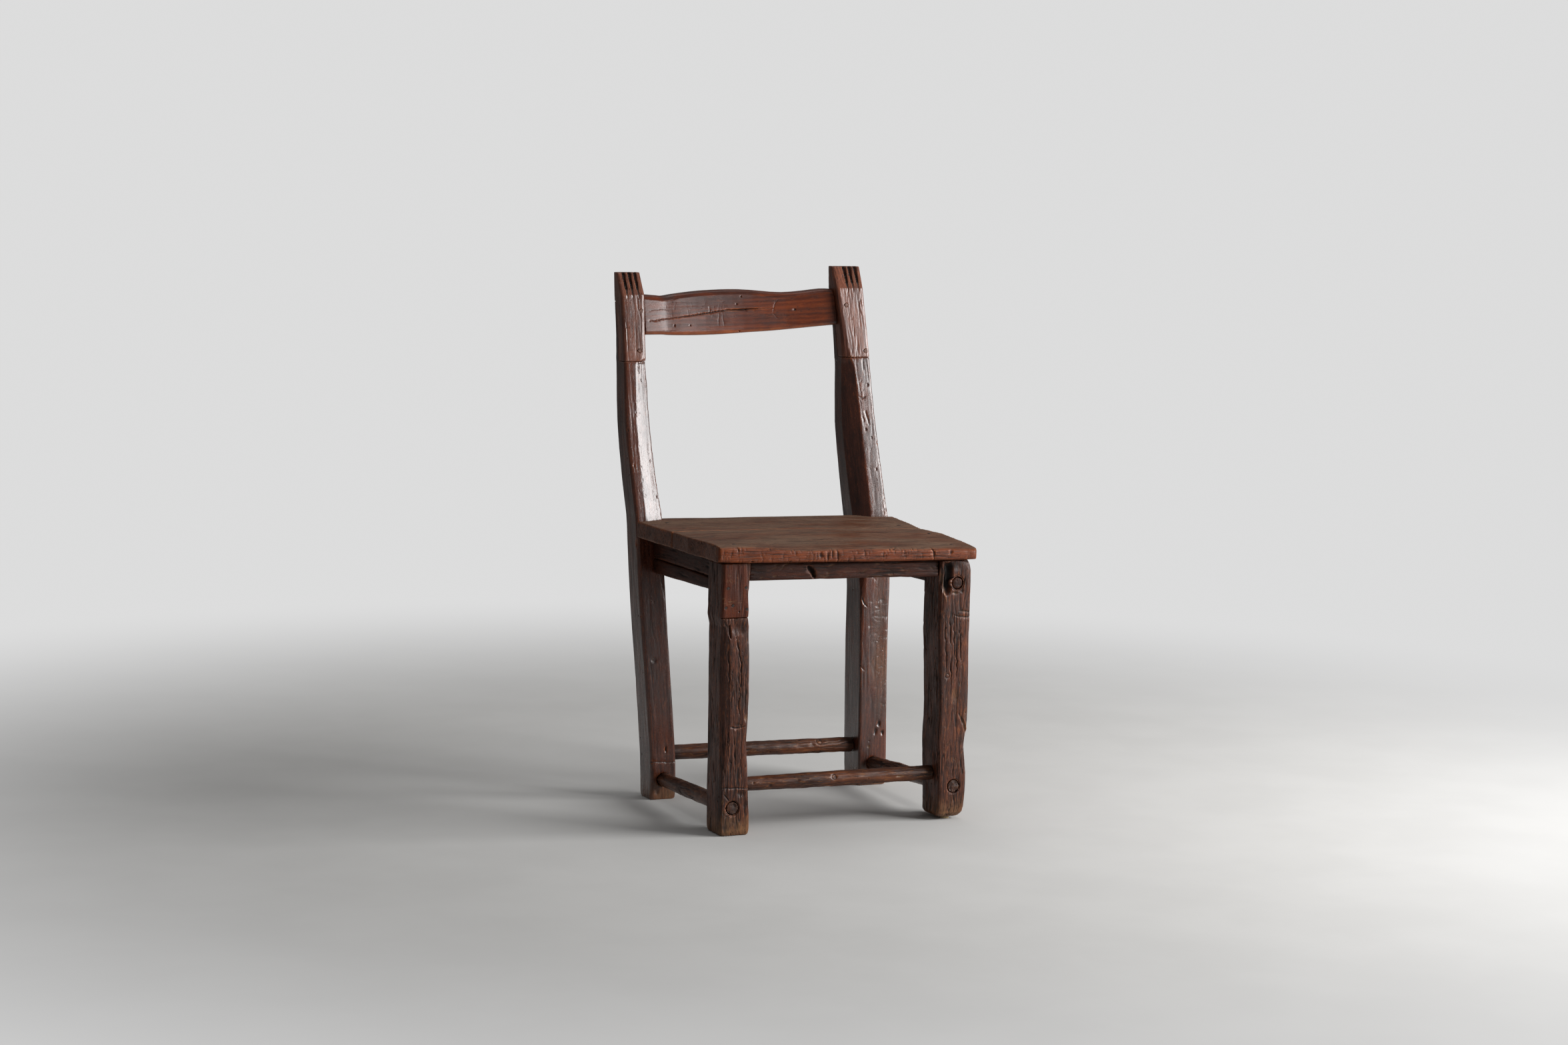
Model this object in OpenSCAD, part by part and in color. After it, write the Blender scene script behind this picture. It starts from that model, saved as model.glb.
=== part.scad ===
// Rustic plank-seat side chair: hewn legs and raked posts, round stretchers driven into bored
// mortises, a two-board seat nailed over side rails, and a bowed crest rail between the posts.
// Millimetres. -Y is the front, +X is to the right of someone who looks at it, +Z is up.
// The origin is on the floor under the middle of the chair's box.

/* [Overall] */
// Height of the seat's top at the middle of the chair
seat_h = 421; // [385:1:460]
// Height of the taller (right) post's top
back_h = 800; // [760:1:900]
// Width over the outer faces of the two front legs
frame_w = 398; // [370:1:480]
// Depth from the front legs' faces to the rear posts' faces at the floor
frame_d = 272; // [240:1:330]
// How far the posts lean back between the floor and the seat
seat_lean = 24; // [10:1:32]
// How far the posts lean back between the seat and the bottom of their bevels
back_lean = 73; // [50:1:90]
// How much lower the left post's top is than the right one's
post_drop = 11; // [0:1:14]

/* [Legs and posts] */
// Width of a front leg across the front, before its wear
leg_w = 46; // [42:1:56]
// Depth of a front leg from front to back
leg_d = 57; // [50:1:66]
// Width of a rear post across the front, at the floor
post_w = 45; // [42:1:54]
// Depth of the left rear post at the floor
post_d = 46; // [44:1:60]
// How much deeper the right rear post is than the left one
post_extra = 10; // [0:1:14]
// Depth of a post's top where its bevel starts
post_top_d = 33; // [31:1:38]
// How far below a post's top its bevel starts
bevel_h = 33; // [28:1:38]
// How far the bevel runs back
bevel_run = 17; // [12:1:17]
// Width of a carved groove at its mouth
groove_w = 7.5; // [4:0.5:9]
// Depth of a carved groove below the bevel
groove_d = 7; // [4:0.5:8]

/* [Spliced post tops] */
// How far below a post's top the splice seam lies
seam_drop = 139; // [125:1:150]
// How much lower the left post's seam is than the right one's
seam_step = 4; // [0:1:8]
// Height of the lapped joint above the seam
lap_h = 88; // [70:1:95]
// Diameter of a splice peg
peg_dia = 5; // [4:0.5:7]
// Length of a splice peg
peg_len = 27; // [22:1:30]

/* [Seat] */
// Thickness of the seat boards
seat_t = 29; // [24:1:34]
// Fall of the seat's underside for each millimetre towards the right
seat_tilt = 0.02; // [0:0.005:0.03]
// How much lower the seat's front edge is worn
seat_wear = 9; // [0:1:10]
// How much lower the seat's right side is worn
side_wear = 3; // [0:1:5]
// How far the seat stands forward of the front legs
seat_front_over = 10; // [4:1:20]
// How far the seat stands out past the left front leg
seat_left_over = 18; // [8:1:24]
// How far the seat's front right corner stands out past the right front leg
seat_right_over = 2; // [0:1:10]
// How far the rear board flares out past the right front leg, at its back corner
seat_flare = 15; // [10:1:20]
// Depth of the front seat board
front_board_d = 171; // [140:1:190]
// How far the rear board reaches back past the posts' faces
rear_board_over = 24; // [14:1:28]

/* [Seat rails] */
// Height of a side rail
rail_h = 23; // [18:1:28]
// Width of a side rail
rail_w = 26; // [22:1:28]
// Height of a side rail's top below the seat's underside at the middle
strip_h = 26.5; // [20:0.5:30]
// Diameter of a side rail's round tenons
rail_tenon_dia = 18; // [14:1:20]
// Depth of a side rail's blind mortise in a rear post
rail_blind_d = 11; // [8:1:14]
// Height of the front and rear seat rails
cross_rail_h = 30; // [24:1:34]
// Thickness of the front and rear seat rails
cross_rail_t = 20; // [16:1:24]
// Height of a cross rail's rectangular tenon
cross_tenon_h = 18; // [12:1:20]
// Thickness of a cross rail's rectangular tenon
cross_tenon_t = 10; // [8:1:12]

/* [Stretchers] */
// Diameter of a stretcher at its middle
stretcher_dia = 24; // [20:1:28]
// Diameter of a front or rear stretcher's tenons
cross_stretcher_tenon = 16; // [12:1:18]
// Diameter of a side stretcher's tenons
side_stretcher_tenon = 19; // [14:1:20]
// Height of the front stretcher
front_stretcher_h = 69; // [66:1:110]
// Height of the rear stretcher
rear_stretcher_h = 65; // [62:1:110]
// Depth of a blind mortise
blind_d = 14; // [10:1:16]

/* [Crest rail] */
// Height of the crest rail at its left end
crest_h = 61; // [50:1:70]
// Thickness of the crest rail
crest_t = 22; // [16:1:24]
// How far the crest rail bows back at its middle
crest_bow = 13; // [0:1:16]
// Depth of the crest rail's face behind the posts' faces
crest_set = 10; // [8:1:11]
// How far below the taller post's top the crest rail's underside lies at the left
crest_drop = 105; // [98:1:112]
// Thickness of the crest rail's tenons
crest_tenon_t = 10; // [8:1:12]

/* [Leg patch and small parts] */
// Height of the patch let into the left front leg
patch_h = 78; // [60:1:90]
// Thickness of the patch
patch_t = 6; // [4:0.5:9]
// Diameter of the glide nailed under the worn right front foot
glide_dia = 13; // [10:1:16]
// Thickness of the glide
glide_t = 4; // [3:0.5:6]
// Diameter of a seat nail's shank
seat_nail_dia = 3; // [2:0.5:4]
// Length of a seat nail
seat_nail_len = 66; // [60:1:72]

/* [Hidden] */

$fn = 32;
fit = 0.15;                      // clearance round a tenon, peg or nail in its hole
seat_gap = 0.3;                  // clearance between a shoulder and what it seats on
arris_steps = 2;                 // pieces in one rounded arris
fair_steps = 2;                  // rows of a leg's or post's skin for each of its stations
crest_steps = 4;                 // rows of the crest rail for each of its stations
crest_overlap = 5;               // length of a crest tenon inside the rail's own end
crest_tenon_set = 1.5;           // how far a crest tenon's face is set back from the rail's
bore_start = 2;                  // how far outside a leg's face a bit starts
cross_nail_len = 50;             // length of the nails into the rear seat rail
corner_cut = 80;                 // reach of the saw cut at each back corner of the seat
seat_lines = 9;                  // lines across a seat board
LEFT = -1;
RIGHT = 1;

// The chair's box is centred: the boards and posts overhang the legs unevenly.
mid_x = 3;
back_overhang = 27;              // how far a post's top reaches back past its bevelled face
total_d = seat_front_over + frame_d + seat_lean + back_lean + bevel_run + back_overhang;
front_y = seat_front_over - total_d / 2;
rear_y = front_y + frame_d;
seat_y0 = front_y - seat_front_over;
joint_y = seat_y0 + front_board_d;
leg_back_y = front_y + leg_d;
bevel_z = back_h - bevel_h;
crest_z = back_h - crest_drop;
rail_top_z = seat_h - seat_t - strip_h;
rail_z = rail_top_z - rail_h / 2;
cross_rail_top = seat_h - seat_t;
patch_z0 = leg_top(LEFT) - patch_h;
patch_seat_y = front_y + patch_t;

// Underside of the seat at x
function seat_under(x) = seat_h - seat_t - seat_tilt * x;
// Outer face of the frame on one side, moved out by a distance
function outer_x(side, out) = mid_x + side * (frame_w / 2 + out);
// Top of a front leg, just under the seat
function leg_top(side) = seat_under(outer_x(side, side == LEFT ? -leg_w : 0)) - seat_gap;
// Front face of a post at a height, without its bevel
function post_face_y(z) = rear_y + (z < seat_h
    ? seat_lean * pow(max(z, 0) / seat_h, 1.6)
    : seat_lean + back_lean * (z - seat_h) / (bevel_z - seat_h));
// Splice seam of a post
function seam_z(side) = back_h - seam_drop - (side == LEFT ? seam_step : 0);
// Top of a post
function post_top_z(side) = back_h - (side == LEFT ? post_drop : 0);

// One corner of a ring. The sharp corner is at p, s points into the section, and c is
// [length along the first axis, length along the second, 0 for a flat chamfer or 1 for a round].
function corner(p, s, c, flip) = [for (k = [0:arris_steps])
    let (t = (flip ? arris_steps - k : k) / arris_steps)
    p + [s[0] * c[0] * (c[2] * (1 - sin(90 * t)) + (1 - c[2]) * (1 - t)),
         s[1] * c[1] * (c[2] * (1 - cos(90 * t)) + (1 - c[2]) * t)]];

// A four-sided section with its own corner at each arris, in order round from the high-high one
function ring(lo, hi, cs) = concat(
    corner([hi[0], hi[1]], [-1, -1], cs[0], true), corner([lo[0], hi[1]], [1, -1], cs[1], false),
    corner([lo[0], lo[1]], [1, 1], cs[2], true), corner([hi[0], lo[1]], [-1, 1], cs[3], false));

// A row between b and c on the smooth curve through a, b, c and d
function between(a, b, c, d, t) = b + ((c - a) * t + (2 * a - 5 * b + 4 * c - d) * t * t
    + (3 * b - a - 3 * c + d) * t * t * t) / 2;

// Adds rows so that a skin bends smoothly through its stations; the last few stay straight
function fair(rows, straight, steps = fair_steps) = let (n = len(rows) - 1 - straight) concat(
    [for (i = [0:n - 1], k = [0:steps - 1])
        between(rows[max(i - 1, 0)], rows[i], rows[i + 1], rows[min(i + 2, n)], k / steps)],
    [for (i = [n:len(rows) - 1]) rows[i]]);

// Faces of a closed skin over a number of rings with n points each
function skin_faces(rings, n) = concat(
    [[for (j = [0:n - 1]) j]],
    [for (i = [0:rings - 2], j = [0:n - 1])
        let (a = i * n + j, b = i * n + (j + 1) % n)
        each [[a, a + n, b + n], [a, b + n, b]]],
    [[for (j = [n - 1:-1:0]) (rings - 1) * n + j]]);

// Skin over sections that stand along Z, X or Y: each row is [place, lo, hi, corners]
module skin_z(rows) {
    points = [for (r = rows) each [for (p = ring(r[1], r[2], r[3])) [p[0], p[1], r[0]]]];
    polyhedron(points, skin_faces(len(rows), 4 * (arris_steps + 1)));
}
module skin_x(rows) {
    points = [for (r = rows) each [for (p = ring(r[1], r[2], r[3])) [r[0], p[0], p[1]]]];
    polyhedron(points, skin_faces(len(rows), 4 * (arris_steps + 1)));
}
module skin_y(rows) {
    points = [for (r = rows) each [for (p = ring(r[1], r[2], r[3])) [p[1], r[0], p[0]]]];
    polyhedron(points, skin_faces(len(rows), 4 * (arris_steps + 1)));
}

function soft(r) = [r, r, 1];

// ---- Hewn front legs -------------------------------------------------------------------------

// Rows up a front leg: height, outer face's move out, width lost to wear, front face's move in,
// outer front arris, inner front arris
function leg_rows(side) = let (top = leg_top(side))
    side == LEFT
    ? [[0, -2, 4, 3, 6, 4], [7, 0, 1, 0, 3, 3], [30, 0, 1, 0, 3, 3],
       [78, 1, 3, 0, 3, 3], [104, 1, 4, 0, 8, 4], [135, 1, 6, 0, 11, 5], [205, 2, 3, 0, 13, 4],
       [0.7 * top, 3, 4, 0, 12, 3], [patch_z0 - 14, 3, 4, 1, 9, 3], [patch_z0, 6, 3.5, 0, 4, 3],
       [top, 5, 0.5, 0, 3, 4]]
    : [[glide_t, -9, 12, 7, 8, 8], [glide_t + 5, -6, 5, 2, 6, 5], [glide_t + 16, -3, 2, 0, 5, 4],
       [70, -1, -1, 0, 5, 4], [110, -4, 0, 0, 9, 4], [135, -1, -3, 0, 8, 4], [175, 0, -3, 0, 7, 4],
       [0.72 * top, -2, -6, 0, 6, 6], [0.92 * top, -2, -6, 0, 5, 9], [top - 8, -3, -4, 0, 8, 6],
       [top, -6, -2, 2, 9, 5]];

module leg_skin(side, grow = 0) {
    rows = fair(leg_rows(side), side == LEFT ? 2 : 0);
    skin_z([for (r = rows)
        let (outer = outer_x(side, r[1] + grow), inner = outer_x(side, r[1] - leg_w + r[2] - grow),
             end = (r == rows[0] ? -grow : 0))
        [r[0] + end, [min(outer, inner), front_y + r[3] - grow],
         [max(outer, inner), leg_back_y - r[3] / 2 + grow],
         side == LEFT ? [soft(4), soft(5), soft(r[4]), soft(r[5])]
                      : [soft(5), soft(4), soft(r[5]), soft(r[4])]]]);
}

// ---- Raked rear posts ------------------------------------------------------------------------

// Rows up a post: height, outer face's move out, width change, front move past the post's own
// line, depth, inner front chamfer across and back
function post_rows(side) = let (top = post_top_z(side), under = seat_h - seat_t,
                                up = bevel_z - seat_h, seam = seam_z(side), d = post_d + post_extra)
    side == LEFT
    ? [[0, -6, -5, 1, post_d - 4, 5, 5], [8, -5, -3, 0, post_d, 4, 4],
       [67, -4.5, -3, 0, post_d + 3, 4, 4], [0.5 * under, 5, -3, 0, post_d + 1, 3, 3],
       [0.77 * under, 13, -1, 0, post_d - 1, 4, 4], [under - 6, 16, 1, 0, post_d - 1, 20, 8],
       [seat_h + 6, 17, 1.5, 0, post_d - 1, 30, 10],
       [seat_h + 0.19 * up, 21, -1, 0, post_d - 2, 26, 10],
       [seat_h + 0.42 * up, 24, -3, 0, post_d - 5, 24, 9],
       [seam - 34, 22, -5, 0, post_d - 7, 21, 9], [seam - 4, 21, -8, 0, post_top_d + 5, 18, 7],
       [seam + 4, 21, -8, 0, post_top_d + 5, 7, 4],
       [seam + 40, 20, -8, 0, post_top_d + 2, 6, 4],
       [bevel_z - post_drop, 20, -6, -2, post_top_d, 5, 4],
       [top, 21, -6, bevel_run - 8, post_top_d - bevel_run, 9, 5]]
    : [[0, 3, 0, 2, d - 4, 5, 5], [8, 5, 3, 0, d, 4, 4], [67, 5, 4, 0, d + 2, 3, 3],
       [0.56 * under, 6, 4, 0, d + 2, 3, 3], [0.78 * under, 10, 6, 0, d, 7, 5],
       [under - 6, 11, 9, 0, d + 2, 18, 16], [seat_h + 6, 7, 7, 0, d + 4, 22, 22],
       [seat_h + 0.16 * up, 3, 7, 0, d, 23, 21], [seat_h + 0.4 * up, -3, 5, 0, d - 5, 23, 20],
       [seam - 22, -6, 0, 0, post_top_d + 10, 17, 14], [seam - 3, -6.5, 0, 0, post_top_d + 8, 12, 9],
       [seam + 37, -7.5, 0, 0, post_top_d + 5, 7, 5], [bevel_z, -10, 2, 0, post_top_d, 5, 4],
       [top, -9, 4, bevel_run - 7, post_top_d - bevel_run, 6, 5]];

module post_skin(side, grow = 0) {
    rows = fair(post_rows(side), 1);
    skin_z([for (r = rows)
        let (outer = outer_x(side, r[1] + grow), inner = outer_x(side, r[1] - post_w - r[2] - grow),
             y0 = post_face_y(r[0]) + r[3], chamfer = [r[5], r[6], r[5] > 10 ? 0.15 : 0.8],
             end = (r == rows[0] ? -grow : 0))
        [r[0] + end, [min(outer, inner), y0 - grow], [max(outer, inner), y0 + r[4] + grow],
         side == LEFT ? [soft(5), soft(5), soft(4), chamfer] : [soft(5), soft(5), chamfer, soft(4)]]]);
}

// The part of a post above its splice: all of it over the lap, and the front half beside it
module lap_zone(side) {
    far = frame_w;
    z0 = seam_z(side);
    z1 = z0 + lap_h;
    lap_y0 = post_face_y(z0) + crest_set + crest_tenon_t + 2;
    lap_y1 = post_face_y(z1) + crest_set + crest_tenon_t + 2;
    rotate([90, 0, 90]) translate([0, 0, -far])
        linear_extrude(2 * far)
            polygon([[rear_y - far, z0], [lap_y0, z0], [lap_y1, z1],
                     [rear_y + far, z1], [rear_y + far, back_h + far],
                     [rear_y - far, back_h + far]]);
}

// Three carved V grooves down the bevel of one post's top
module top_grooves(side) {
    top = post_top_z(side);
    half = post_w / 2 - 3;
    centre = outer_x(side, -half + (side == LEFT ? 21 : -9));
    start = [centre, post_face_y(top - bevel_h) - (side == LEFT ? 2 : 0), top - bevel_h];
    slope = atan2(bevel_run + groove_d, bevel_h);
    for (k = [-1:1])
        translate(start + [k * (post_w - 8) / 4 + 0.5, 0, 0])
            rotate([-slope, 0, 0])
                linear_extrude(2 * bevel_h)
                    polygon([[-1.5 * groove_w, -3 * groove_d + 3],
                             [1.5 * groove_w, -3 * groove_d + 3],
                             [0.4, 0], [-0.4, 0]]);
}

// Places of the splice pegs on each post: across from the post's outer face, and height
function peg_places(side) = side == LEFT
    ? [[-5, seam_z(side) + 16], [-11, seam_z(side) + lap_h - 13]]
    : [[-14, seam_z(side) + 10], [-42, seam_z(side) + lap_h - 8]];

// Splice pegs, or with grow their holes
module pegs(side, grow = 0) {
    for (p = peg_places(side))
        translate([outer_x(side, p[0]), post_face_y(p[1]) - 1 - grow, p[1]])
            rotate([-90, 0, 0])
                cylinder(h = peg_len + 2 * grow, d = peg_dia + 2 * grow);
}

// ---- Crest rail ------------------------------------------------------------------------------

// Rows along the crest rail: share of its length, underside, top, and share of the bow
crest_stations = [[0, 0, crest_h, 0], [0.09, 0, crest_h - 2, 0.3], [0.14, -1, crest_h - 1, 0.47],
                  [0.32, -1, crest_h + 5, 0.85], [0.52, 2, crest_h + 7, 1], [0.74, 7, crest_h + 3, 0.8],
                  [0.93, 13, crest_h + 9, 0.25], [1, 15, crest_h + 8, 0]];
crest_x0 = outer_x(LEFT, 20 - post_w + 4);
crest_x1 = outer_x(RIGHT, -8 - post_w + 2);

// A point of the crest rail leans back with the posts
function crest_y(z) = post_face_y(crest_z) + crest_set
    + back_lean / (bevel_z - seat_h) * (z - crest_z);

module crest_skin() {
    rings = [for (r = fair(crest_stations, 0, crest_steps))
        let (x = crest_x0 + r[0] * (crest_x1 - crest_x0), bow = crest_bow * r[3])
        [for (p = ring([bow, crest_z + r[1]], [bow + crest_t, crest_z + r[2]],
                       [soft(5), soft(7), soft(6), soft(5)]))
            [x, p[0] + crest_y(p[1]), p[1]]]];
    polyhedron([for (r = rings) each r], skin_faces(len(rings), 4 * (arris_steps + 1)));
}

// Tenon at one end of the crest rail, or with grow its mortise
module crest_tenon(side, grow = 0) {
    rise = side == LEFT ? 0 : 16;
    z0 = crest_z + rise + 12 - grow;
    z1 = crest_z + rise + crest_h - 17 + grow;
    inner = side == LEFT ? crest_x0 : crest_x1;
    x0 = inner - (side == LEFT ? blind_d + grow : crest_overlap);
    x1 = inner + (side == LEFT ? crest_overlap : blind_d + grow);
    rings = [for (x = [x0, x1])
        [for (p = [[crest_tenon_set - grow, z0], [crest_tenon_t + grow, z0],
                   [crest_tenon_t + grow, z1], [crest_tenon_set - grow, z1]])
            [x, crest_y(p[1]) + p[0], p[1]]]];
    polyhedron([for (r = rings) each r], skin_faces(2, 4));
}

// A crest tenon with the hole of the peg that pins it
module drilled_crest_tenon(side) {
    difference() {
        crest_tenon(side);
        pegs(side, fit);
    }
}

// ---- Round tenoned bars ----------------------------------------------------------------------

// Places its children along the line from a to b, with +Z on the line and the origin at a
module along(a, b) {
    d = b - a;
    translate(a) rotate([0, acos(d[2] / norm(d)), atan2(d[1], d[0])]) children();
}

// Hole bored right through a front leg for a tenon on the line through two ends
module bored(ends, dia) {
    along(ends[0], ends[1])
        translate([0, 0, -bore_start])
            cylinder(h = leg_d + 20, d = dia + 2 * fit);
}

// Ends of each stretcher's centre line, at the bottoms of its mortises
function stretcher_ends(which) =
    which == "front" ? [[outer_x(LEFT, -leg_w + blind_d + 1), front_y + 26, front_stretcher_h + 1],
                        [outer_x(RIGHT, -leg_w + blind_d - 2), front_y + 26, front_stretcher_h - 0.5]]
  : which == "rear" ? [[outer_x(LEFT, -post_w + blind_d - 3), rear_y + 27, rear_stretcher_h + 1.5],
                       [outer_x(RIGHT, -post_w + blind_d), rear_y + 29, rear_stretcher_h - 4]]
  : which == "left" ? [[outer_x(LEFT, -17.5), front_y + 0.5, 41], [outer_x(LEFT, -26), rear_y + 20, 30]]
  : [[outer_x(RIGHT, -23), front_y + 0.5, 51], [outer_x(RIGHT, -19), rear_y + 20, 34]];
function stretcher_tenon(which) = which == "front" || which == "rear" ? cross_stretcher_tenon
                                                                      : side_stretcher_tenon;

// Tenons of a stretcher as one straight round bar, or with grow its mortises
module tenon_bar(which, grow = 0) {
    ends = stretcher_ends(which);
    along(ends[0], ends[1])
        translate([0, 0, -grow])
            cylinder(h = norm(ends[1] - ends[0]) + 2 * grow, d = stretcher_tenon(which) + 2 * grow);
}

// Swelled round body of a stretcher between the outer diameters d0 and d1
module stretcher_body(which, d0, d1) {
    ends = stretcher_ends(which);
    length = norm(ends[1] - ends[0]);
    along(ends[0], ends[1])
        translate([0, 0, 6])
            rotate_extrude()
                polygon([[0, 0], [d0 / 2, 0], [stretcher_dia / 2, length * 0.3],
                         [stretcher_dia / 2, length * 0.6], [d1 / 2, length - 12],
                         [0, length - 12]]);
}

// One stretcher: a body cut back to the faces of its two uprights, on its straight tenons
module stretcher(which, d0, d1) {
    union() {
        difference() {
            stretcher_body(which, d0, d1);
            if (which != "rear" && which != "right") leg_skin(LEFT, seat_gap);
            if (which != "rear" && which != "left") leg_skin(RIGHT, seat_gap);
            if (which != "front" && which != "right") post_skin(LEFT, seat_gap);
            if (which != "front" && which != "left") post_skin(RIGHT, seat_gap);
        }
        tenon_bar(which);
    }
}

// Ends of a side rail's round tenons
function rail_ends(side) = let (back = post_face_y(rail_z) + rail_blind_d)
    side == LEFT
    ? [[outer_x(LEFT, -20), patch_seat_y + seat_gap, rail_z], [outer_x(LEFT, -20), back, rail_z]]
    : [[outer_x(RIGHT, -26), front_y + 1, rail_z], [outer_x(RIGHT, -24), back, rail_z]];

module rail_tenons(side, grow = 0) {
    ends = rail_ends(side);
    along(ends[0], ends[1])
        translate([0, 0, -grow])
            cylinder(h = norm(ends[1] - ends[0]) + 2 * grow, d = rail_tenon_dia + 2 * grow);
}

// ---- Rectangular tenons of the cross rails -----------------------------------------------------

// Tenons of the front or rear seat rail as one straight bar, or with grow their mortises
module cross_tenons(front, grow = 0) {
    x0 = front ? outer_x(LEFT, -leg_w + blind_d) : outer_x(LEFT, 14 - post_w + blind_d);
    x1 = front ? outer_x(RIGHT, -leg_w + blind_d - 8) : outer_x(RIGHT, 8 - post_w + blind_d - 6);
    y = cross_rail_y(front) + (cross_rail_t - cross_tenon_t) / 2;
    z = cross_rail_top - cross_rail_h / 2 - cross_tenon_h / 2 - 1;
    translate([x0 - grow, y - grow, z - grow])
        cube([x1 - x0 + 2 * grow, cross_tenon_t + 2 * grow, cross_tenon_h + 2 * grow]);
}
function cross_rail_y(front) = front ? front_y + 9
    : post_face_y(cross_rail_top - cross_rail_h / 2) + rail_blind_d - 2;

// ---- Small parts -------------------------------------------------------------------------------

// Places of the nails in the leg patch: across from the leg's outer face, and above its foot
patch_nail_places = [[-31, 43], [-3, 43], [0, 15], [-11, 18], [-33, 12]];

// One wire nail along +Z with its head at the origin, or with grow its hole
module nail(length, dia, head, grow = 0) {
    translate([0, 0, -length]) cylinder(h = length + grow, d = dia + 2 * grow);
    translate([0, 0, -1 - grow]) cylinder(h = 1 + 3 * grow, d = head + 2 * grow);
}

module patch_nail_set(grow = 0) {
    for (p = patch_nail_places)
        translate([outer_x(LEFT, p[0]), front_y - 0.3, patch_z0 + p[1]])
            rotate([90, 0, 0]) nail(20, 2, 4, grow);
}

// Places of the seat nails: x, y and length
seat_nail_places = [
    [outer_x(LEFT, -19), joint_y - 66, seat_nail_len],
    [outer_x(LEFT, -19), joint_y + 38, seat_nail_len],
    [outer_x(LEFT, -19), joint_y + 102, seat_nail_len],
    [outer_x(RIGHT, -25), joint_y - 62, seat_nail_len],
    [outer_x(RIGHT, -26), joint_y + 34, seat_nail_len],
    [outer_x(RIGHT, -26), joint_y + 100, seat_nail_len],
    [outer_x(LEFT, -17), front_y + 16, seat_nail_len],
    [outer_x(RIGHT, -30), front_y + 18, seat_nail_len],
    [mid_x - 67, cross_rail_y(false) + 7, cross_nail_len],
    [mid_x + 63, cross_rail_y(false) + 7, cross_nail_len]];

// Top of the seat at a place
function seat_top(x, y) = seat_h - seat_tilt / 2 * x
    - seat_wear * max(0, 1 - (y - seat_y0) / 90) * min(1, max(0, (x - outer_x(LEFT, 0)) / 110))
    - side_wear * max(0, x / frame_w * 2) * min(1, max(0, (rear_y - y) / (rear_y - joint_y)));

module seat_nail_set(grow = 0) {
    for (p = seat_nail_places)
        translate([p[0], p[1], seat_top(p[0], p[1]) - 0.8])
            nail(p[2], seat_nail_dia, 6, grow);
}

// Glide under the right front foot with its nail, or with grow the nail's hole
module glide(grow = 0) {
    translate([outer_x(RIGHT, -leg_w / 2 - 3), front_y + leg_d / 2 - 8, 0]) {
        cylinder(h = glide_t, d = glide_dia);
        cylinder(h = glide_t + 14 + grow, d = 3 + 2 * grow);
    }
}

// ---- Seat boards -------------------------------------------------------------------------------

// One board as rings from front to back; each row is [y, left x, right x, top cut, bottom cut]
module board(rows) {
    last = seat_lines - 1;
    rings = [for (r = rows) concat(
        [for (k = [0:last]) let (x = r[1] + (r[2] - r[1]) * k / last, edge = k % last == 0 ? 1 : 0)
            [x, r[0], seat_under(x) + r[4] + edge]],
        [for (k = [last:-1:0]) let (x = r[1] + (r[2] - r[1]) * k / last, edge = k % last == 0 ? 1.2 : 0)
            [x, r[0], seat_top(x, r[0]) - r[3] - edge]])];
    n = 2 * seat_lines;
    polyhedron([for (r = rings) each [for (k = [n - 1:-1:0]) r[k]]], board_faces(len(rings), n));
}
function board_faces(rings, n) = concat(
    [for (k = [0:n / 2 - 2]) each [[k, k + 1, n - 2 - k], [k, n - 2 - k, n - 1 - k]]],
    [for (i = [0:rings - 2], j = [0:n - 1])
        let (a = i * n + j, b = i * n + (j + 1) % n)
        each [[a, a + n, b + n], [a, b + n, b]]],
    [for (k = [0:n / 2 - 2]) let (o = (rings - 1) * n)
        each [[o + k, o + n - 2 - k, o + k + 1], [o + k, o + n - 1 - k, o + n - 2 - k]]]);

// ---- The nodes ---------------------------------------------------------------------------------

module front_leg_left() {
    color("#4a2c1e") difference() {
        leg_skin(LEFT);
        translate([outer_x(LEFT, 30), front_y - 20, patch_z0 - seat_gap])
            cube([leg_w + 60, 20 + patch_t, patch_h + 20]);
        rail_tenons(LEFT, fit);
        cross_tenons(true, fit);
        tenon_bar("front", fit);
        bored(stretcher_ends("left"), side_stretcher_tenon);
        patch_nail_set(fit);
        seat_nail_set(fit);
    }
}

module front_leg_right() {
    color("#4a2c1e") difference() {
        leg_skin(RIGHT);
        bored(rail_ends(RIGHT), rail_tenon_dia);
        cross_tenons(true, fit);
        tenon_bar("front", fit);
        bored(stretcher_ends("right"), side_stretcher_tenon);
        seat_nail_set(fit);
        glide(fit);
    }
}

// Lower, raked part of a rear post, up to its splice
module rear_post(side) {
    color("#43271b") difference() {
        post_skin(side);
        lap_zone(side);
        rail_tenons(side, fit);
        cross_tenons(false, fit);
        tenon_bar("rear", fit);
        tenon_bar(side == LEFT ? "left" : "right", fit);
        pegs(side, fit);
    }
}
module rear_post_left() { rear_post(LEFT); }
module rear_post_right() { rear_post(RIGHT); }

// Newer top of a post, with its bevel and carved grooves
module post_top(side) {
    color("#6b4232") difference() {
        intersection() {
            post_skin(side);
            lap_zone(side);
        }
        top_grooves(side);
        crest_tenon(side, fit);
        pegs(side, fit);
    }
}
module post_top_left() { post_top(LEFT); }
module post_top_right() { post_top(RIGHT); }

module splice_pegs_left() { color("#2e1c14") pegs(LEFT); }
module splice_pegs_right() { color("#2e1c14") pegs(RIGHT); }

module crest_rail() {
    color("#5d2f1f") union() {
        difference() {
            crest_skin();
            post_skin(LEFT, seat_gap);
            post_skin(RIGHT, seat_gap);
        }
        drilled_crest_tenon(LEFT);
        drilled_crest_tenon(RIGHT);
    }
}

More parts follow.
